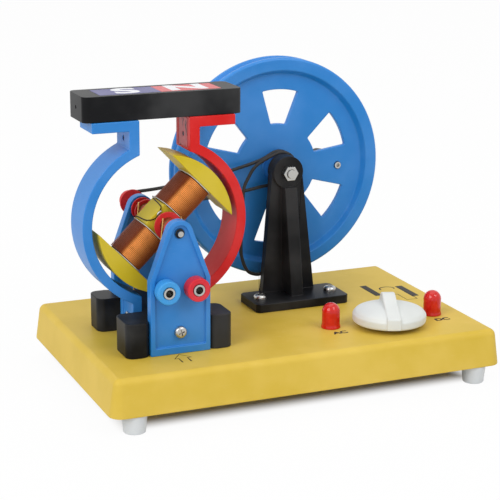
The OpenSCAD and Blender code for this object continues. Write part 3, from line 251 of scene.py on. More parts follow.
def mend_flats(piece):
    """Fills a flat face anew, holes and all, where rounding its edges has made it cross itself."""
    mesh = piece.data
    for _ in range(most_mends):
        crossed = crossed_face(mesh)
        if crossed is None:
            return
        outwards = crossed.normal.copy()
        height = outwards.dot(crossed.center)
        bpy.ops.object.mode_set(mode="EDIT")
        bpy.ops.mesh.select_mode(type="FACE")
        bpy.ops.mesh.select_all(action="DESELECT")
        bpy.ops.object.mode_set(mode="OBJECT")
        for face in mesh.polygons:
            in_plane = abs(outwards.dot(face.center) - height) < same_plane
            faces_out = face.normal.dot(outwards) > same_way
            face.select = in_plane and faces_out and len(face.vertices) > 4
        bpy.ops.object.mode_set(mode="EDIT")
        bpy.ops.mesh.delete(type="FACE")
        bpy.ops.mesh.select_mode(type="EDGE")
        bpy.ops.mesh.select_non_manifold(extend=False)
        bpy.ops.mesh.fill()
        bpy.ops.mesh.select_mode(type="FACE")
        bpy.ops.object.mode_set(mode="OBJECT")
        filled = [face for face in mesh.polygons if face.select]
        wrong_way = sum(face.normal.dot(outwards) * face.area for face in filled) < 0
        bpy.ops.object.mode_set(mode="EDIT")
        if wrong_way:
            bpy.ops.mesh.flip_normals()
        bpy.ops.mesh.select_mode(type="VERT")
        bpy.ops.object.mode_set(mode="OBJECT")


crease = math.radians(32)
weld_gap = 0.002 * mm
flat_angle = math.radians(0.4)


def soft_copy(node, edge, steps=2, shape=None, mend=True):
    """A copy of a CAD node, its triangles merged, shaped further, its edges rounded by edge mm."""
    bpy.ops.object.select_all(action="DESELECT")
    piece = bpy.data.objects.new(node + "_finished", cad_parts[node].data.copy())
    bpy.context.scene.collection.objects.link(piece)
    piece.select_set(True)
    bpy.context.view_layer.objects.active = piece
    bpy.ops.mesh.customdata_custom_splitnormals_clear()
    bpy.ops.object.mode_set(mode="EDIT")
    bpy.ops.mesh.select_all(action="SELECT")
    bpy.ops.mesh.remove_doubles(threshold=weld_gap)
    bpy.ops.mesh.dissolve_limited(angle_limit=flat_angle)
    bpy.ops.object.mode_set(mode="OBJECT")
    if shape:
        shape(piece)
    if edge:
        rounding = piece.modifiers.new("rounding", "BEVEL")
        rounding.width = edge * mm
        rounding.segments = steps
        rounding.limit_method = "ANGLE"
        rounding.angle_limit = crease
        rounding.use_clamp_overlap = False
        rounding.loop_slide = False
        rounding.miter_outer = "MITER_ARC"
        bpy.ops.object.modifier_apply(modifier=rounding.name)
        if mend:
            mend_flats(piece)
    bpy.ops.object.shade_smooth_by_angle(angle=crease)
    flats = piece.modifiers.new("flats", "WEIGHTED_NORMAL")
    flats.keep_sharp = True
    bpy.ops.object.modifier_apply(modifier=flats.name)
    return piece


def dress(piece, material, body, slot, *nodes):
    """Gives a piece its material and its body, and hides the CAD nodes it stands for; the slot is
    not used.
    """
    piece.data.materials.clear()
    piece.data.materials.append(material)
    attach(piece, body)
    if nodes:
        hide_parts(*nodes)


def soften(node, material, body, slot, **how):
    """Makes a CAD node's soft copy and dresses it to stand for the node."""
    dress(soft_copy(node, **how), material, body, slot, node)


yellow = (0.67, 0.465, 0.056)
yellow_plastic = moulded("yellow_plastic", yellow, rough=0.46, grain=0.14, shine=0.16)
soften("base_tray", yellow_plastic, "root", "yellow_plastic", edge=0.25)


# Feet: four white plastic studs screwed under the tray's corners, slightly tapered to the table.
# Their screws and the two below the plinth are plated steel, and show only from underneath.

def paint(node, material):
    """Gives a CAD node that stays in view its material."""
    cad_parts[node].material_slots[0].material = material


def plated(name, colour, rough):
    """Plated or drawn metal: fine turning lines, cloudy patches and a few dull spots."""
    material, shader, place = finish(name)
    lines = place.noise(scale=900, detail=2, rough=0.6, stretch=(0.3, 3.2, 0.3))
    clouds = place.noise(scale=160, detail=3, rough=0.6)
    dull = clouds.between(0.56, 0.72)
    dull.blend(toned(colour, 1), toned(colour, 0.72)).into(shader, "Base Color")
    (rough + 0.18 * (lines - 0.5) + 0.16 * dull).into(shader, "Roughness")
    (lines + 0.3 * clouds).bump(strength=0.05, distance=0.04 * mm).into(shader, "Normal")
    shader.inputs["Metallic"].default_value = 1
    return material


white = (0.65, 0.675, 0.69)
white_plastic = moulded("white_plastic", white, rough=0.42)
bright_steel = plated("bright_steel", (0.5, 0.495, 0.475), rough=0.28)
soften("feet", white_plastic, "root", "white_plastic", edge=0.5, steps=3)
paint("foot_screws", bright_steel)
paint("plinth_screws", bright_steel)


# Plinth: a black plastic block with four rounded corner posts, screwed down from below.
# The posts hold the bearing stands and the feet of the pole arms between them.

black = (0.005, 0.0053, 0.0065)
black_plastic = moulded("black_plastic", black, rough=0.4, grain=0.16, shine=0.13, wear=0.02)
soften("plinth", black_plastic, "root", "black_plastic", edge=0.5, steps=3)


# Bearing stands: two blue plastic plates, round at the top, recessed on both faces.
# Each has the shaft's bore at its top and is held to the plinth by one cross-head screw.

blue = (0.012, 0.205, 0.60)
blue_plastic = moulded("blue_plastic", blue, rough=0.4, grain=0.12, shine=0.45, wear=0.08)
for node in ("front_bearing_stand", "rear_bearing_stand"):
    soften(node, blue_plastic, "root", "blue_plastic", edge=0.4, steps=3)


# Cross-head screws: plated steel pan heads with a cross pressed into each.
# One is in each bearing stand, one in each pole arm's foot and two hold down the wheel's stand.

def pick(piece, test):
    """Goes into edit mode with only the points selected that pass the test."""
    bpy.ops.object.mode_set(mode="EDIT")
    bpy.ops.mesh.select_all(action="DESELECT")
    bpy.ops.object.mode_set(mode="OBJECT")
    mesh = piece.data
    for point in mesh.vertices:
        point.select = test(point.co)
    for line in mesh.edges:
        line.select = all(mesh.vertices[i].select for i in line.vertices)
    for face in mesh.polygons:
        face.select = all(mesh.vertices[i].select for i in face.vertices)
    bpy.ops.object.mode_set(mode="EDIT")


def cut(piece, cutter):
    """Takes the cutter's shape out of a piece, and the cutter away."""
    trim = piece.modifiers.new("cut", "BOOLEAN")
    trim.operation = "DIFFERENCE"
    trim.solver = "EXACT"
    trim.object = cutter
    bpy.ops.object.select_all(action="DESELECT")
    piece.select_set(True)
    bpy.context.view_layer.objects.active = piece
    bpy.ops.object.modifier_apply(modifier=trim.name)
    bpy.data.objects.remove(cutter)


def fix_place():
    """Puts the selected object's place, turn and scale into its mesh."""
    bpy.ops.object.transform_apply(location=True, rotation=True, scale=True)


def join(name, pieces):
    """Makes several objects one piece."""
    bpy.ops.object.select_all(action="DESELECT")
    for piece in pieces:
        piece.select_set(True)
    bpy.context.view_layer.objects.active = pieces[0]
    bpy.ops.object.join()
    pieces[0].name = name
    return pieces[0]


def pan_head(radius, height, foot, towards):
    """A domed head with a cross recess, seated at foot and facing along towards."""
    dome = 0.66 * height
    slot_size = (1.25 * radius, 0.26 * radius, 1.1 * height)
    slot_taper = (0.62, 0.7, 1)
    slot_turn = 0.3
    bpy.ops.object.select_all(action="DESELECT")
    bpy.ops.mesh.primitive_cylinder_add(
        vertices=40, radius=radius, depth=height, location=(0, 0, height / 2)
    )
    head = bpy.context.object
    fix_place()
    pick(head, lambda p: p.z > height / 2)
    bpy.ops.mesh.bevel(offset=dome, segments=6, affect="EDGES")
    bpy.ops.object.mode_set(mode="OBJECT")
    for turn in (slot_turn, slot_turn + math.pi / 2):
        bpy.ops.object.select_all(action="DESELECT")
        bpy.ops.mesh.primitive_cube_add(size=1, location=(0, 0, height))
        slot = bpy.context.object
        slot.scale = slot_size
        slot.rotation_euler = (0, 0, turn)
        fix_place()
        pick(slot, lambda p: p.z < height)
        bpy.ops.transform.resize(value=slot_taper, center_override=(0, 0, height))
        bpy.ops.object.mode_set(mode="OBJECT")
        cut(head, slot)
    head.rotation_euler = Vector(towards).to_track_quat("Z", "Y").to_euler()
    head.location = foot
    fix_place()
    bpy.ops.object.shade_smooth_by_angle(angle=crease)
    return head


def screw_heads(name, node, radius, height, *seats):
    """The heads of one set of screws; a seat is a head's foot and the way it faces."""
    heads = [pan_head(radius, height, foot, towards) for foot, towards in seats]
    dress(join(name, heads), bright_steel, "root", "bright_steel", node)


pulley_low, pulley_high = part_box("drive_pulley")
axis_x = (pulley_low.x + pulley_high.x) / 2
axis_z = (pulley_low.z + pulley_high.z) / 2

low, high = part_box("stand_screws")
head_r, head_high = 3.4 * mm, 2.4 * mm
screw_z = (low.z + high.z) / 2
screw_heads(
    "stand_screw_heads", "stand_screws", head_r, head_high,
    ((axis_x, low.y + head_high, screw_z), (0, -1, 0)),
    ((axis_x, high.y - head_high, screw_z), (0, 1, 0)),
)

low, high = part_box("pole_screws")
head_r, head_high = 2.2 * mm, 1.4 * mm
screw_y, screw_z = (low.y + high.y) / 2, (low.z + high.z) / 2
screw_heads(
    "pole_screw_heads", "pole_screws", head_r, head_high,
    ((low.x + head_high, screw_y, screw_z), (-1, 0, 0)),
    ((high.x - head_high, screw_y, screw_z), (1, 0, 0)),
)

low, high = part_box("wheel_stand_screws")
head_r, head_high = 3.7 * mm, 2.6 * mm
screw_y = (low.y + high.y) / 2
screw_heads(
    "wheel_stand_screw_heads", "wheel_stand_screws", head_r, head_high,
    ((low.x + head_r, screw_y, high.z - head_high), (0, 0, 1)),
    ((high.x - head_r, screw_y, high.z - head_high), (0, 0, 1)),
)


# Pole arms: two C-shaped plastic arms, blue on the left and red on the right.
# Flanges at the top carry the magnet, and feet below stand in the plinth.
# An iron strip is let into the inner face of each neck and riveted through it; its red is painted
# reflection of the red arm.

red = (0.64, 0.008, 0.007)
red_plastic = moulded("red_plastic", red, rough=0.38, shine=0.15, wear=0.06)
soften("pole_south", blue_plastic, "root", "blue_plastic", edge=0.5, steps=3)
soften("pole_north", red_plastic, "root", "red_plastic", edge=0.5, steps=3)

# the strip's red is painted reflection; the dark blotches are stains
painted_red_reflection, stain = (0.46, 0.055, 0.065, 1), (0.05, 0.006, 0.008, 1)
iron, iron_shader, place = finish("iron_red_reflection")
streaks = place.noise(scale=260, detail=3, rough=0.6, stretch=(1, 0.12, 1))
blotches = place.noise(scale=300, detail=3, rough=0.65, stretch=(1, 1, 0.35))
stains = blotches.between(0.53, 0.64)
stains.blend(painted_red_reflection, stain).into(iron_shader, "Base Color")
(0.2 + 0.2 * streaks + 0.12 * stains).into(iron_shader, "Roughness")
(streaks + stains).bump(strength=0.35, distance=0.3 * mm).into(iron_shader, "Normal")
iron_shader.inputs["Metallic"].default_value = 0.2
iron_shader.inputs["Specular IOR Level"].default_value = 0.3
for node in ("iron_south", "iron_north"):
    soften(node, iron, "root", "iron", edge=0.12)
# the rivets are near-black as painted shade of the hollow they sit in
shaded_rivet_steel = plated("shaded_rivet_steel", (0.022, 0.024, 0.04), rough=0.5)
soften("strip_rivets", shaded_rivet_steel, "root", "bright_steel", edge=0.2)


# Magnet: a bar magnet in a black plastic case that lies across the two flanges.
# The case has rounded corners, and a printed label with the two pole signs lies in its top.

soften("magnet_case", black_plastic, "root", "black_plastic", edge=0.25, steps=3)
paint("bar_magnet", iron)


def printed(name, colour):
    """Print on glossy label stock: a slightly uneven ink under a clear coat."""
    material, shader, place = finish(name)
    ink = place.noise(scale=700, detail=3, rough=0.6)
    fade = place.noise(scale=60).between(0.35, 0.7)
    fade.blend(toned(colour, 0.94), toned(colour, 1.06)).into(shader, "Base Color")
    (0.34 + 0.12 * (ink - 0.5) + 0.06 * fade).into(shader, "Roughness")
    ink.bump(strength=0.05, distance=0.03 * mm).into(shader, "Normal")
    shader.inputs["Specular IOR Level"].default_value = 0.2
    shader.inputs["Coat Weight"].default_value = 0.1
    return material


label_blue = printed("label_blue", (0.05, 0.045, 0.21))
label_red = printed("label_red", (0.6, 0.07, 0.08))
label_white = printed("label_white", (0.78, 0.79, 0.82))
soften("label_south", label_blue, "root", "label_blue", edge=0.06)
soften("label_north", label_red, "root", "label_red", edge=0.06)

ink_thick = 0.1 * mm


def lettering(name, words, size, middle, stretch, weight):
    """Flat printed letters as a thin mesh, lying face up at a place."""
    bpy.ops.object.select_all(action="DESELECT")
    bpy.ops.object.text_add()
    letters = bpy.context.object
    letters.name = name
    letters.data.body = words
    letters.data.size = size
    letters.data.align_x = "CENTER"
    letters.data.align_y = "CENTER"
    letters.data.offset = weight * size
    letters.data.extrude = ink_thick / 2
    bpy.ops.object.convert(target="MESH")
    letters.scale = (stretch, 1, 1)
    letters.location = middle
    fix_place()
    return letters


pole_sign_size = 21.5 * mm
for node, sign in (("label_south", "S"), ("label_north", "N")):
    low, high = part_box(node)
    middle = Vector(((low.x + high.x) / 2, (low.y + high.y) / 2, high.z))
    letter = lettering(
        "pole_sign_" + sign, sign, pole_sign_size, middle, stretch=1.35, weight=0.04
    )
    dress(letter, label_white, "root", "white_plastic")


# Sockets: two 4 mm sockets in the front stand, each a plastic collar on a plated sleeve with a nut.
# The blue one is on the left and the red one on the right.

socket_blue = moulded("socket_blue", (0.055, 0.33, 0.74), rough=0.3, grain=0.06)
socket_red = moulded("socket_red", (0.66, 0.02, 0.035), rough=0.3, grain=0.06)
soften("socket_collar_blue", socket_blue, "root", "blue_plastic", edge=0.8, steps=4)
soften("socket_collar_red", socket_red, "root", "red_plastic", edge=0.8, steps=4)
soften("socket_sleeves", bright_steel, "root", "bright_steel", edge=0.15)
soften("socket_nuts", bright_steel, "root", "bright_steel", edge=0.25)


# Armature: a yellow moulded former with two D-shaped shoes, on a bright steel shaft.
# Its hub has square sides. The shaft turns in the two stands, and its front end stands a little
# proud of the front one's bore, where a black ring round the shaft is painted shade.

stand_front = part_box("front_bearing_stand")[0].y
shaft_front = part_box("armature_shaft")[0].y
shaft_proud = 0.9 * mm
shaft_end = 1 * mm


def draw_out(piece):
    """Brings the shaft's front end past the stand's face."""
    pick(piece, lambda p: p.y < shaft_front + shaft_end)
    bpy.ops.transform.translate(value=(0, stand_front - shaft_proud - shaft_front, 0))
    bpy.ops.object.mode_set(mode="OBJECT")


soften("armature_shaft", bright_steel, "armature", "bright_steel", edge=0.3, shape=draw_out)
former = (0.61, 0.465, 0.016)
former_yellow = moulded("former_yellow", former, rough=0.42, grain=0.12, shine=0.12)
soften("coil_former", former_yellow, "armature", "yellow_plastic", edge=0.35, steps=3)


def wire_along(name, points, thick, closed=False, sides=1):
    """A round wire or cord through points, as a mesh."""
    line = bpy.data.curves.new(name, "CURVE")
    line.dimensions = "3D"
    line.bevel_depth = thick / 2
    line.bevel_resolution = sides
    line.use_fill_caps = not closed
    run = line.splines.new("POLY")
    run.points.add(len(points) - 1)
    for knot, point in zip(run.points, points):
        knot.co = (*point, 1)
    run.use_cyclic_u = closed
    strand = bpy.data.objects.new(name, line)
    bpy.context.scene.collection.objects.link(strand)
    bpy.ops.object.select_all(action="DESELECT")
    strand.select_set(True)
    bpy.context.view_layer.objects.active = strand
    bpy.ops.object.convert(target="MESH")
    bpy.ops.object.shade_smooth()
    return bpy.context.object


def shaft_ring(name, y, radius, thick, flat):
    """A ring round the shaft's axis, of a round cord pressed flat along the axis."""
    rim = [
        Vector((radius * math.cos(math.radians(angle)), radius * math.sin(math.radians(angle)), 0))
        for angle in range(0, 360, 10)
    ]
    ring = wire_along(name, rim, thick, closed=True, sides=2)
    ring.scale = (1, 1, flat)
    ring.rotation_euler = Vector((0, 1, 0)).to_track_quat("Z", "Y").to_euler()
    ring.location = (axis_x, y, axis_z)
    fix_place()
    return ring


# a black ring round the shaft's front end is painted shade in the bore
bore_shade_black = moulded("bore_shade_black", (0.006, 0.006, 0.007), rough=0.3)
bore_shade_y = stand_front + 0.72 * mm
bore_shade = shaft_ring("bore_shade_ring", bore_shade_y, radius=2.1 * mm, thick=0.9 * mm, flat=0.3)
dress(bore_shade, bore_shade_black, "root", "black_plastic")


# Coils: fine enamelled copper wire wound in close turns on each neck of the former.
# A washer closes each end of a coil, pale as a painted highlight, and its plain inner layers are
# the CAD cores, painted dark as shade between the turns.
# The enamel has painted light on the middle of the turns and painted shade along the coil's sides.

coil_turn = math.radians(43.8)
low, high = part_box("coil_former")
armature_mid = (low.y + high.y) / 2


def on_armature(u, v, y):
    """A point given along the coils, across them and front to rear, in the part's frame."""
    return Vector((
        axis_x + u * math.cos(coil_turn) - v * math.sin(coil_turn),
        armature_mid + y,
        axis_z + u * math.sin(coil_turn) + v * math.cos(coil_turn),
    ))


def enamelled(name, bright, shaded):
    """Enamelled copper: glossy, with painted light on the coil's broad faces and painted shade
    along its sides.
    """
    material, shader, place = finish(name)
    drift = place.noise(scale=140, detail=3, rough=0.6)
    aside, above = place.along(0) - axis_x, place.along(2) - axis_z
    across = math.cos(coil_turn) * above - math.sin(coil_turn) * aside
    # the coil's sides get painted shade here, mixed with a little random tone
    left_side = across.between(6 * mm, 7.8 * mm)
    right_side = (0 - across).between(-4 * mm, 4.5 * mm)
    shade_and_tone = left_side.either(0.85 * right_side).either(0.3 * drift.between(0.5, 0.75))
    shade_and_tone.blend(toned(bright, 1), toned(shaded, 1)).into(shader, "Base Color")
    (0.4 + 0.16 * (drift - 0.5)).into(shader, "Roughness")
    place.noise(scale=1500).bump(strength=0.05, distance=0.03 * mm).into(shader, "Normal")
    shader.inputs["Metallic"].default_value = 0.1
    shader.inputs["Specular IOR Level"].default_value = 0.06
    return material


# the first colour is the enamel with painted light, the second its painted shade
copper = enamelled("enamelled_copper", (0.88, 0.34, 0.085), (0.25, 0.052, 0.015))
# the cores are painted near-black as shade between the turns
shade_between_turns = enamelled("shade_between_turns", (0.12, 0.03, 0.008), (0.03, 0.008, 0.003))
paint("coil_core_upper", shade_between_turns)
paint("coil_core_lower", shade_between_turns)

coil_near, coil_far = 7.6 * mm, 28.1 * mm
coil_half_w, coil_half_depth, coil_corner = 8 * mm, 11.6 * mm, 5.2 * mm
wire, turns = 0.66 * mm, 24
# a corner's sweep ends just short of 90 degrees, where the next corner begins
corner_steps, corner_sweep = 5, 89.99
washer, washer_steps = 0.5 * mm, 96


def loop_point(angle, inset):
    """A point of the coil's rounded outline, drawn in by inset: across and front to rear."""
    corner = int(angle // 90) % 4
    across = (1, 1, -1, -1)[corner]
    depth = (1, -1, -1, 1)[corner]
    r = coil_corner - inset
    swing = math.radians(angle)
    return (
        across * (coil_half_w - coil_corner) + r * math.sin(swing),
        depth * (coil_half_depth - coil_corner) + r * math.cos(swing),
    )


# the washers' pale colour is a painted highlight along the coils' ends
washer_highlight = moulded("washer_highlight", (0.62, 0.58, 0.5), rough=0.8, grain=0.3)
first_turn = coil_near + washer + wire / 2
turn_rise = (coil_far - coil_near - 2 * washer - wire) / turns
for node, side in (("winding_upper", 1), ("winding_lower", -1)):
    route = []
    for turn in range(turns):
        for corner in range(4):
            for step in range(corner_steps):
                angle = 90 * corner + corner_sweep * step / (corner_steps - 1)
                across, depth = loop_point(angle, wire / 2)
                along = first_turn + turn_rise * (turn + (corner + step / corner_steps) / 4)
                route.append(on_armature(side * along, across, depth))
    coil = wire_along(node + "_turns", route, wire)
    dress(coil, copper, "armature", "copper_wire", node)

    washers = []
    for along in (coil_near + washer / 2, coil_far - washer / 2):
        rim = []
        for step in range(washer_steps):
            across, depth = loop_point(360 / washer_steps * step, -washer / 2)
            rim.append(on_armature(side * along, across, depth))
        washers.append(wire_along("washer", rim, washer, closed=True))
    dress(join(node + "_washers", washers), washer_highlight, "armature", "white_plastic")


# Leads: the two coils' ends run over the hub's side to one soldered joint at its front edge.
# They are the coils' own enamelled wire, dark brown, with painted shade where they lie along the
# coils' sides.

# its second colour is the painted shade the leads take along the coils' sides
lead_brown = enamelled("lead_enamel", (0.07, 0.022, 0.012), (0.035, 0.014, 0.009))
lead_wire = 0.6 * mm
# places along the coils, across them and front to rear, in millimetres
joint_spot = (2, 6.6, -9)
lead_runs = [
    [
        (-7.5, 8.2, 9), (-6.4, 8.2, 7), (-6, 8.2, 1), (-5.5, 8.2, -5.4), (-4.6, 8.1, -8.6),
        (-3.4, 7.2, -9.1), (-1.6, 6.3, -9.1), (0.5, 6.3, -9.1), joint_spot,
    ],
    [
        joint_spot, (3.6, 7.3, -9.1), (5, 8.1, -8.6), (5.7, 8.2, -4), (6.1, 8.2, 0),
        (6.6, 8.2, 6.2), (7.5, 8.2, 9),
    ],
]
stretch_steps = 8


def smooth_run(points, closed=False):
    """A smooth curve through points, with a few steps to each stretch between two of them."""
    if closed:
        knots = [points[-1], *points, points[0], points[1]]
    else:
        knots = [points[0], *points, points[-1]]
    curve = []
    for before, here, after, beyond in zip(knots, knots[1:], knots[2:], knots[3:]):
        for step in range(stretch_steps):
            t = step / stretch_steps
            curve.append(0.5 * (
                2 * here
                + (after - before) * t
                + (2 * before - 5 * here + 4 * after - beyond) * t * t
                + (3 * here - 3 * after + beyond - before) * t ** 3
            ))
    return curve if closed else curve + [points[-1]]


leads = []
for run in lead_runs:
    points = [on_armature(u * mm, v * mm, y * mm) for u, v, y in run]
    leads.append(wire_along("coil_lead", smooth_run(points), lead_wire, sides=2))
dress(join("coil_leads", leads), lead_brown, "armature", "copper_wire")

blob_r = 1.1 * mm
blob_rear = 0.3
bpy.ops.object.select_all(action="DESELECT")
bpy.ops.mesh.primitive_uv_sphere_add(segments=20, ring_count=12, radius=blob_r)
blob = bpy.context.object
pick(blob, lambda p: p.y > 0)
bpy.ops.transform.resize(value=(1, blob_rear, 1))
bpy.ops.object.mode_set(mode="OBJECT")
blob.scale = (1.7, 0.6, 0.75)
blob.rotation_euler = (0, -coil_turn, 0)
blob.location = on_armature(*(part * mm for part in joint_spot))
fix_place()
bpy.ops.object.shade_smooth()
blob.name = "solder_joint"
solder = plated("solder", (0.42, 0.42, 0.41), rough=0.36)
dress(blob, solder, "armature", "bright_steel")


# Spools: red flanged drums on the shaft. The front one carries the two commutator segments.
# The rear one carries the two slip rings; each has a cup in front where leads end over a dark brown
# ring.
# The pulley's front flange is wider than its groove, and keeps the belt in.

far_front, far_rear = -1, 1


def flared(node, least_radius, *stretches):
    """Shapes a turned piece: its outer points are widened from front to rear of each stretch."""
    low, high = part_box(node)
    middle = (low + high) / 2

    def widen(piece):
        for front, rear, growth in stretches:
            pick(piece, lambda p: front < p.y < rear and (p - middle).xz.length > least_radius)
            bpy.ops.transform.resize(value=(growth, 1, growth), center_override=middle)
            bpy.ops.object.mode_set(mode="OBJECT")

    return widen


spool_red = moulded("spool_red", (0.62, 0.016, 0.018), rough=0.34, grain=0.08)
worn_brass = plated("worn_brass", (0.34, 0.2, 0.08), rough=0.36)
spool_drum_r, cup_growth = 5.4 * mm, 0.84
for node, rear_growth, ring_node in (
    ("commutator_spool", 1.17, "commutator_segments"),
    ("slip_ring_spool", 1.0, "slip_rings"),
):
    ring_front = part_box(ring_node)[0].y
    cup, rear = (far_front, ring_front, cup_growth), (ring_front, far_rear, rear_growth)
    shape = flared(node, spool_drum_r, cup, rear)
    soften(node, spool_red, "armature", "red_plastic", edge=0.25, steps=3, shape=shape)
    soften(ring_node, worn_brass, "armature", "brass", edge=0.1)

pulley_groove_r, pulley_growth = 4.9 * mm, 1.3
groove_y = (pulley_low.y + pulley_high.y) / 2
groove_front = groove_y - 1.8 * mm
shape = flared("drive_pulley", pulley_groove_r, (far_front, groove_front, pulley_growth))
soften("drive_pulley", spool_red, "armature", "red_plastic", edge=0.1, steps=3, shape=shape)

cup_floor_dark = moulded("cup_floor_brown", (0.05, 0.017, 0.009), rough=0.3, grain=0.2)
beige = moulded("beige_sleeve", (0.55, 0.42, 0.22), rough=0.5)
green = moulded("green_sleeve", (0.03, 0.09, 0.05), rough=0.45)
cup_depth = 2.2 * mm
# each wire's sleeve and thickness, and its run from the axis and the cup's front, in millimetres
cup_wires = {
    "commutator_spool": [
        ("beige", beige, 0.8, [
            (0.4, 1.9, 3), (0.2, 0.7, 2.6), (-0.2, 0.4, 1.4),
            (-0.8, 0.5, 0), (-1.8, 0.8, -1.4), (-2, 2, -2.2),
        ]),
    ],
    "slip_ring_spool": [
        ("beige", beige, 0.8, [
            (-2.6, 1.9, 2.8), (-3, 0.7, 2), (-3.1, 0.5, 0.4), (-2.9, 0.7, -1.2), (-2.4, 1.9, -2.2),
        ]),
        ("green", green, 1.0, [
            (-1.4, 1.9, 2.2), (-0.6, 0.6, 2.9), (0.8, 0.4, 3.1), (2.2, 0.6, 2.5), (2.6, 1.9, 1.4),
        ]),
        ("dark", lead_brown, 0.7, [
            (-0.8, 1.9, 1.9), (0.4, 0.9, 2.2), (1.8, 0.8, 1.6), (2.8, 1.9, 0.4),
        ]),
    ],
}
for node, wires in cup_wires.items():
    cup_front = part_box(node)[0].y
    # a dark brown ring lies at each cup's floor
    cup_floor_y = cup_front + cup_depth
    cup_floor_ring = shaft_ring(node + "_resin", cup_floor_y, radius=2.9 * mm, thick=2.4 * mm, flat=0.4)
    dress(cup_floor_ring, cup_floor_dark, "armature", "copper_wire")
    for colour, sleeve, thick, run in wires:
        points = [
            Vector((axis_x + x * mm, cup_front + y * mm, axis_z + z * mm)) for x, y, z in run
        ]
        lead = wire_along(node + "_lead_" + colour, smooth_run(points), thick * mm, sides=2)
        dress(lead, sleeve, "armature", "copper_wire")


# Brushes: springy brass wires that stand in the plinth and the sockets' tails.
# They press on the commutator and on the slip rings.

brass = plated("brass", (0.72, 0.48, 0.17), rough=0.24)
for node in ("commutator_brushes", "slip_ring_brushes"):
    soften(node, brass, "root", "brass", edge=0)


# Wheel stand: a black plastic column with a rib in front, on a foot plate with cut corners.
# Its boss carries the wheel's bolt, with a plated hexagon nut in front.

soften("wheel_stand", black_plastic, "root", "black_plastic", edge=0.45, steps=3, mend=False)
soften("wheel_axle", bright_steel, "root", "bright_steel", edge=0.3)
soften("axle_nut", bright_steel, "root", "bright_steel", edge=0.3)


# Drive wheel: one blue plastic moulding with a grooved rim, a thin web and six windows.
# A plated spindle through the web carries the black hand grip behind it.

wheel_colour = (0.012, 0.215, 0.63)
wheel_blue = moulded("wheel_blue", wheel_colour, rough=0.38, grain=0.12, shine=0.4, wear=0.08)
soften("drive_wheel", wheel_blue, "wheel", "blue_plastic", edge=0.6, steps=3)
soften("handle_spindle", bright_steel, "wheel", "bright_steel", edge=0.2)
grip_bore_r, grip_growth = 3.2 * mm, 1.3
shape = flared("handle_grip", grip_bore_r, (far_front, far_rear, grip_growth))
soften("handle_grip", black_plastic, "handle", "black_plastic", edge=0.4, steps=3, shape=shape)


# Belt: an endless round rubber cord from the pulley to the wheel, off the rim as photographed.
# It laps the wheel's hub twice, and its slack hangs in a loop between the two laps.

wheel_low, wheel_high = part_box("drive_wheel")
wheel_mid = (wheel_low + wheel_high) / 2
hub_front = wheel_low.y
units_between_axes = 93.8
belt_unit = (wheel_mid.x - axis_x) / units_between_axes


def lap(middle_x, middle_z, radius, angles, ys, steps):
    """Points of the belt round an axis, from one angle and depth to another."""
    points = []
    for i in range(steps + 1):
        share = i / steps
        angle = math.radians(angles[0] + (angles[1] - angles[0]) * share)
        points.append(Vector((
            middle_x + radius * math.cos(angle),
            ys[0] + (ys[1] - ys[0]) * share,
            middle_z + radius * math.sin(angle),
        )))
    return points


def from_hub(run):
    """A free stretch of the belt, given in belt units from the wheel's axis and its hub's front."""
    hub = Vector((wheel_mid.x, hub_front, wheel_mid.z))
    return [hub + Vector(point) * belt_unit for point in run]


upper_run = [(-76, -0.1, -4.8), (-52, 1.8, -2.4), (-29.6, 3.6, 1.3), (-12, 4.8, 5.4)]
slack_run = [
    (9.6, 4.6, -14), (8.2, 3.6, -33), (4, 2, -50), (-2, 0.8, -58.4), (-12.6, 0, -62),
    (-17.7, -0.2, -61.6), (-21.9, -0.4, -59), (-25, -0.5, -52.2), (-26.1, -0.6, -44),
    (-25.2, -0.6, -26), (-24.5, -0.4, -10.7), (-21.5, 0.1, -3.8), (-15.7, 1.1, 3.4),
]
lower_run = [(-9, 3.6, -9.8), (-21.7, 2.6, -11.4), (-46, 1, -13.4), (-72, -0.6, -15)]
hub_lap, pulley_lap = 9.8 * mm, 4.75 * mm
first_y, second_y, third_y = (hub_front + step * belt_unit for step in (5.4, 1.4, 3.4))
route = (
    lap(axis_x, axis_z, pulley_lap, (265, 95), (groove_y, groove_y), steps=4)
    + from_hub(upper_run)
    + lap(wheel_mid.x, wheel_mid.z, hub_lap, (108, 0), (first_y, first_y), steps=4)
    + from_hub(slack_run)
    + lap(wheel_mid.x, wheel_mid.z, hub_lap, (118, -90), (second_y, third_y), steps=6)
    + from_hub(lower_run)
)
belt_thick = 2 * mm
belt_rubber = moulded("belt_rubber", (0.02, 0.019, 0.018), rough=0.5, grain=0.35)
belt = wire_along("belt_cord", smooth_run(route, closed=True), belt_thick, closed=True, sides=4)
dress(belt, belt_rubber, "root", "belt_rubber", "drive_belt")


# Lamps: two red lens caps with a flared foot and a domed top, on leads through the tray.
# The clear red plastic is glossy, and darker where it is thick.

deep_red, clear_red = (0.55, 0.008, 0.005, 1), (0.64, 0.016, 0.009, 1)
lamp_red, lamp_shader, place = finish("lamp_red")
haze = place.noise(scale=240, detail=3, rough=0.6)
haze.between(0.35, 0.7).blend(deep_red, clear_red).into(lamp_shader, "Base Color")
(0.14 + 0.12 * (haze - 0.5)).into(lamp_shader, "Roughness")
haze.bump(strength=0.06, distance=0.1 * mm).into(lamp_shader, "Normal")
lamp_shader.inputs["Subsurface Weight"].default_value = 0.15
lamp_shader.inputs["Subsurface Radius"].default_value = (4 * mm, 0.4 * mm, 0.3 * mm)
lamp_shader.inputs["Specular IOR Level"].default_value = 0.3
lamp_shader.inputs["Coat Weight"].default_value = 0.3
lamp_shader.inputs["Coat Roughness"].default_value = 0.06
for node in ("ac_lamp", "dc_lamp"):
    soften(node, lamp_red, "root", "lamp_red", edge=0.4, steps=3)
paint("lamp_leads", bright_steel)


# Selector: a white plastic knob on the shaft of a switch below the tray, turned between two signs.
# Its skirt is crowned, and the pointer bar runs out over the rim in front.
# Crown, bar and skirt are one moulding and flow into each other.

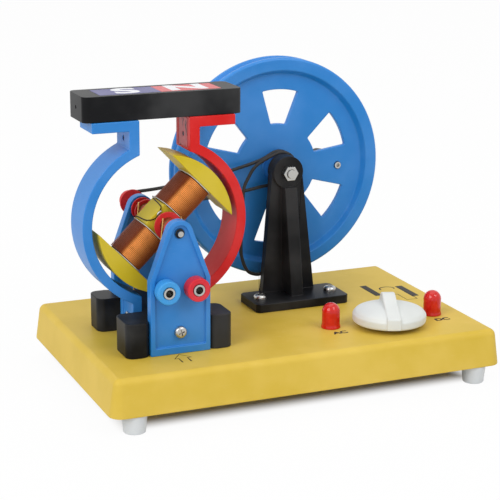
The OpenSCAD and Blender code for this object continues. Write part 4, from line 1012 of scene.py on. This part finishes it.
knob_white = moulded("knob_white", (0.70, 0.72, 0.695), rough=0.46, grain=0.14)
knob_low, knob_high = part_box("selector_knob")
knob_mid = (knob_low + knob_high) / 2
knob_r = (knob_high.x - knob_low.x) / 2
rim_high, crown_high, crown_inset, crown_foot = 5.2 * mm, 4.2 * mm, 0.8 * mm, 0.05
bpy.ops.object.select_all(action="DESELECT")
bpy.ops.mesh.primitive_uv_sphere_add(segments=64, ring_count=32, radius=knob_r - crown_inset)
crown = bpy.context.object
pick(crown, lambda p: p.z < 0)
bpy.ops.transform.resize(value=(1, 1, crown_foot))
bpy.ops.object.mode_set(mode="OBJECT")
crown.scale.z = crown_high / knob_r
crown.location = (knob_mid.x, knob_mid.y, knob_low.z + rim_high)
fix_place()

bar_wide, bar_long = 7.6 * mm, knob_r + 0.5 * mm
bar_low, bar_front, bar_rear = 0.5 * mm, 6.9 * mm, 12.4 * mm
bar_turn = math.radians(-20)
bpy.ops.object.select_all(action="DESELECT")
bpy.ops.mesh.primitive_cube_add(size=1)
bar = bpy.context.object
bar.scale = (bar_wide, bar_long, bar_rear - bar_low)
bar.location = (0, -bar_long / 2, (bar_low + bar_rear) / 2)
fix_place()
pick(bar, lambda p: p.y < -bar_long / 2 and p.z > bar_front)
bpy.ops.transform.translate(value=(0, 0, bar_front - bar_rear))
bpy.ops.object.mode_set(mode="OBJECT")
bar.rotation_euler = (0, 0, bar_turn)
bar.location = (knob_mid.x, knob_mid.y, knob_low.z)
fix_place()

knob = join("selector_knob_finished", [soft_copy("selector_knob", edge=0), crown, bar])
skin = knob.modifiers.new("skin", "REMESH")
skin.mode = "VOXEL"
skin.voxel_size = 0.35 * mm
ease = knob.modifiers.new("ease", "SMOOTH")
ease.iterations = 14
bpy.ops.object.modifier_apply(modifier=skin.name)
bpy.ops.object.modifier_apply(modifier=ease.name)
bpy.ops.object.shade_smooth()
dress(knob, knob_white, "selector", "white_plastic", "selector_knob")
paint("selector_shaft", bright_steel)
paint("selector_switch", black_plastic)
paint("switch_nut", bright_steel)


# Print: the few dark signs on the tray's top, screen-printed in thin ink.
# AC and DC stand in front of the lamps, and an arrow points to the sockets.
# At the right a plain drawing of two bars with an arc between them stands for the wiring.

print_ink = moulded("print_ink", (0.014, 0.012, 0.016), rough=0.6, grain=0.05, shine=0.04)
grey_ink = moulded("grey_ink", (0.06, 0.055, 0.05), rough=0.6, grain=0.05, shine=0.04)
tray_top = tray_high.z
sign_size, sign_right, sign_ahead = 5.2 * mm, 0.7 * mm, 5.2 * mm
for node, sign in (("ac_lamp", "AC"), ("dc_lamp", "DC")):
    low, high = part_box(node)
    middle = Vector(((low.x + high.x) / 2 + sign_right, low.y - sign_ahead, tray_top))
    letters = lettering("sign_" + sign, sign, sign_size, middle, stretch=1.2, weight=0.045)
    dress(letters, print_ink, "root", "black_plastic")


def ink_line(name, points, width):
    """A flat printed line through points on the tray's top, all given in millimetres."""
    line = wire_along(name, [Vector((x, y, 0)) * mm for x, y in points], width * mm, sides=2)
    line.scale.z = ink_thick / (width * mm)
    line.location.z = tray_top
    fix_place()
    return line


arrow_x, arrow_tip = axis_x / mm - 1.6, stand_front / mm - 0.8
arrow_outline = [
    (-2.4, -12.4), (-2.4, -6.2), (-4.6, -6.2), (0, 0), (4.6, -6.2), (2.4, -6.2), (2.4, -12.4),
]
arrow = ink_line("sign_arrow", [(arrow_x + x, arrow_tip + y) for x, y in arrow_outline], width=0.8)
dress(arrow, print_ink, "root", "black_plastic")

bar_left = ink_line("sign_bar_left", [(80, 31), (80, 9.5)], width=4.4)
bar_right = ink_line("sign_bar_right", [(100, 23), (100, 1)], width=4.6)
dress(bar_left, grey_ink, "root", "black_plastic")
dress(bar_right, grey_ink, "root", "black_plastic")

arc_x, arc_y, arc_half_w, arc_half_h = 91, 20.5, 4.6, 3.8
arc = []
for angle in range(200, -21, -20):
    swing = math.radians(angle)
    arc.append((arc_x + arc_half_w * math.cos(swing), arc_y + arc_half_h * math.sin(swing)))
lead = [(82.2, 12), (91.6, 8), (91.6, -4), (98.3, -4), (98.3, 3)]
lines = [ink_line("sign_arc", arc, width=0.9), ink_line("sign_lead", lead, width=0.6)]
dress(join("sign_lines", lines), print_ink, "root", "black_plastic")
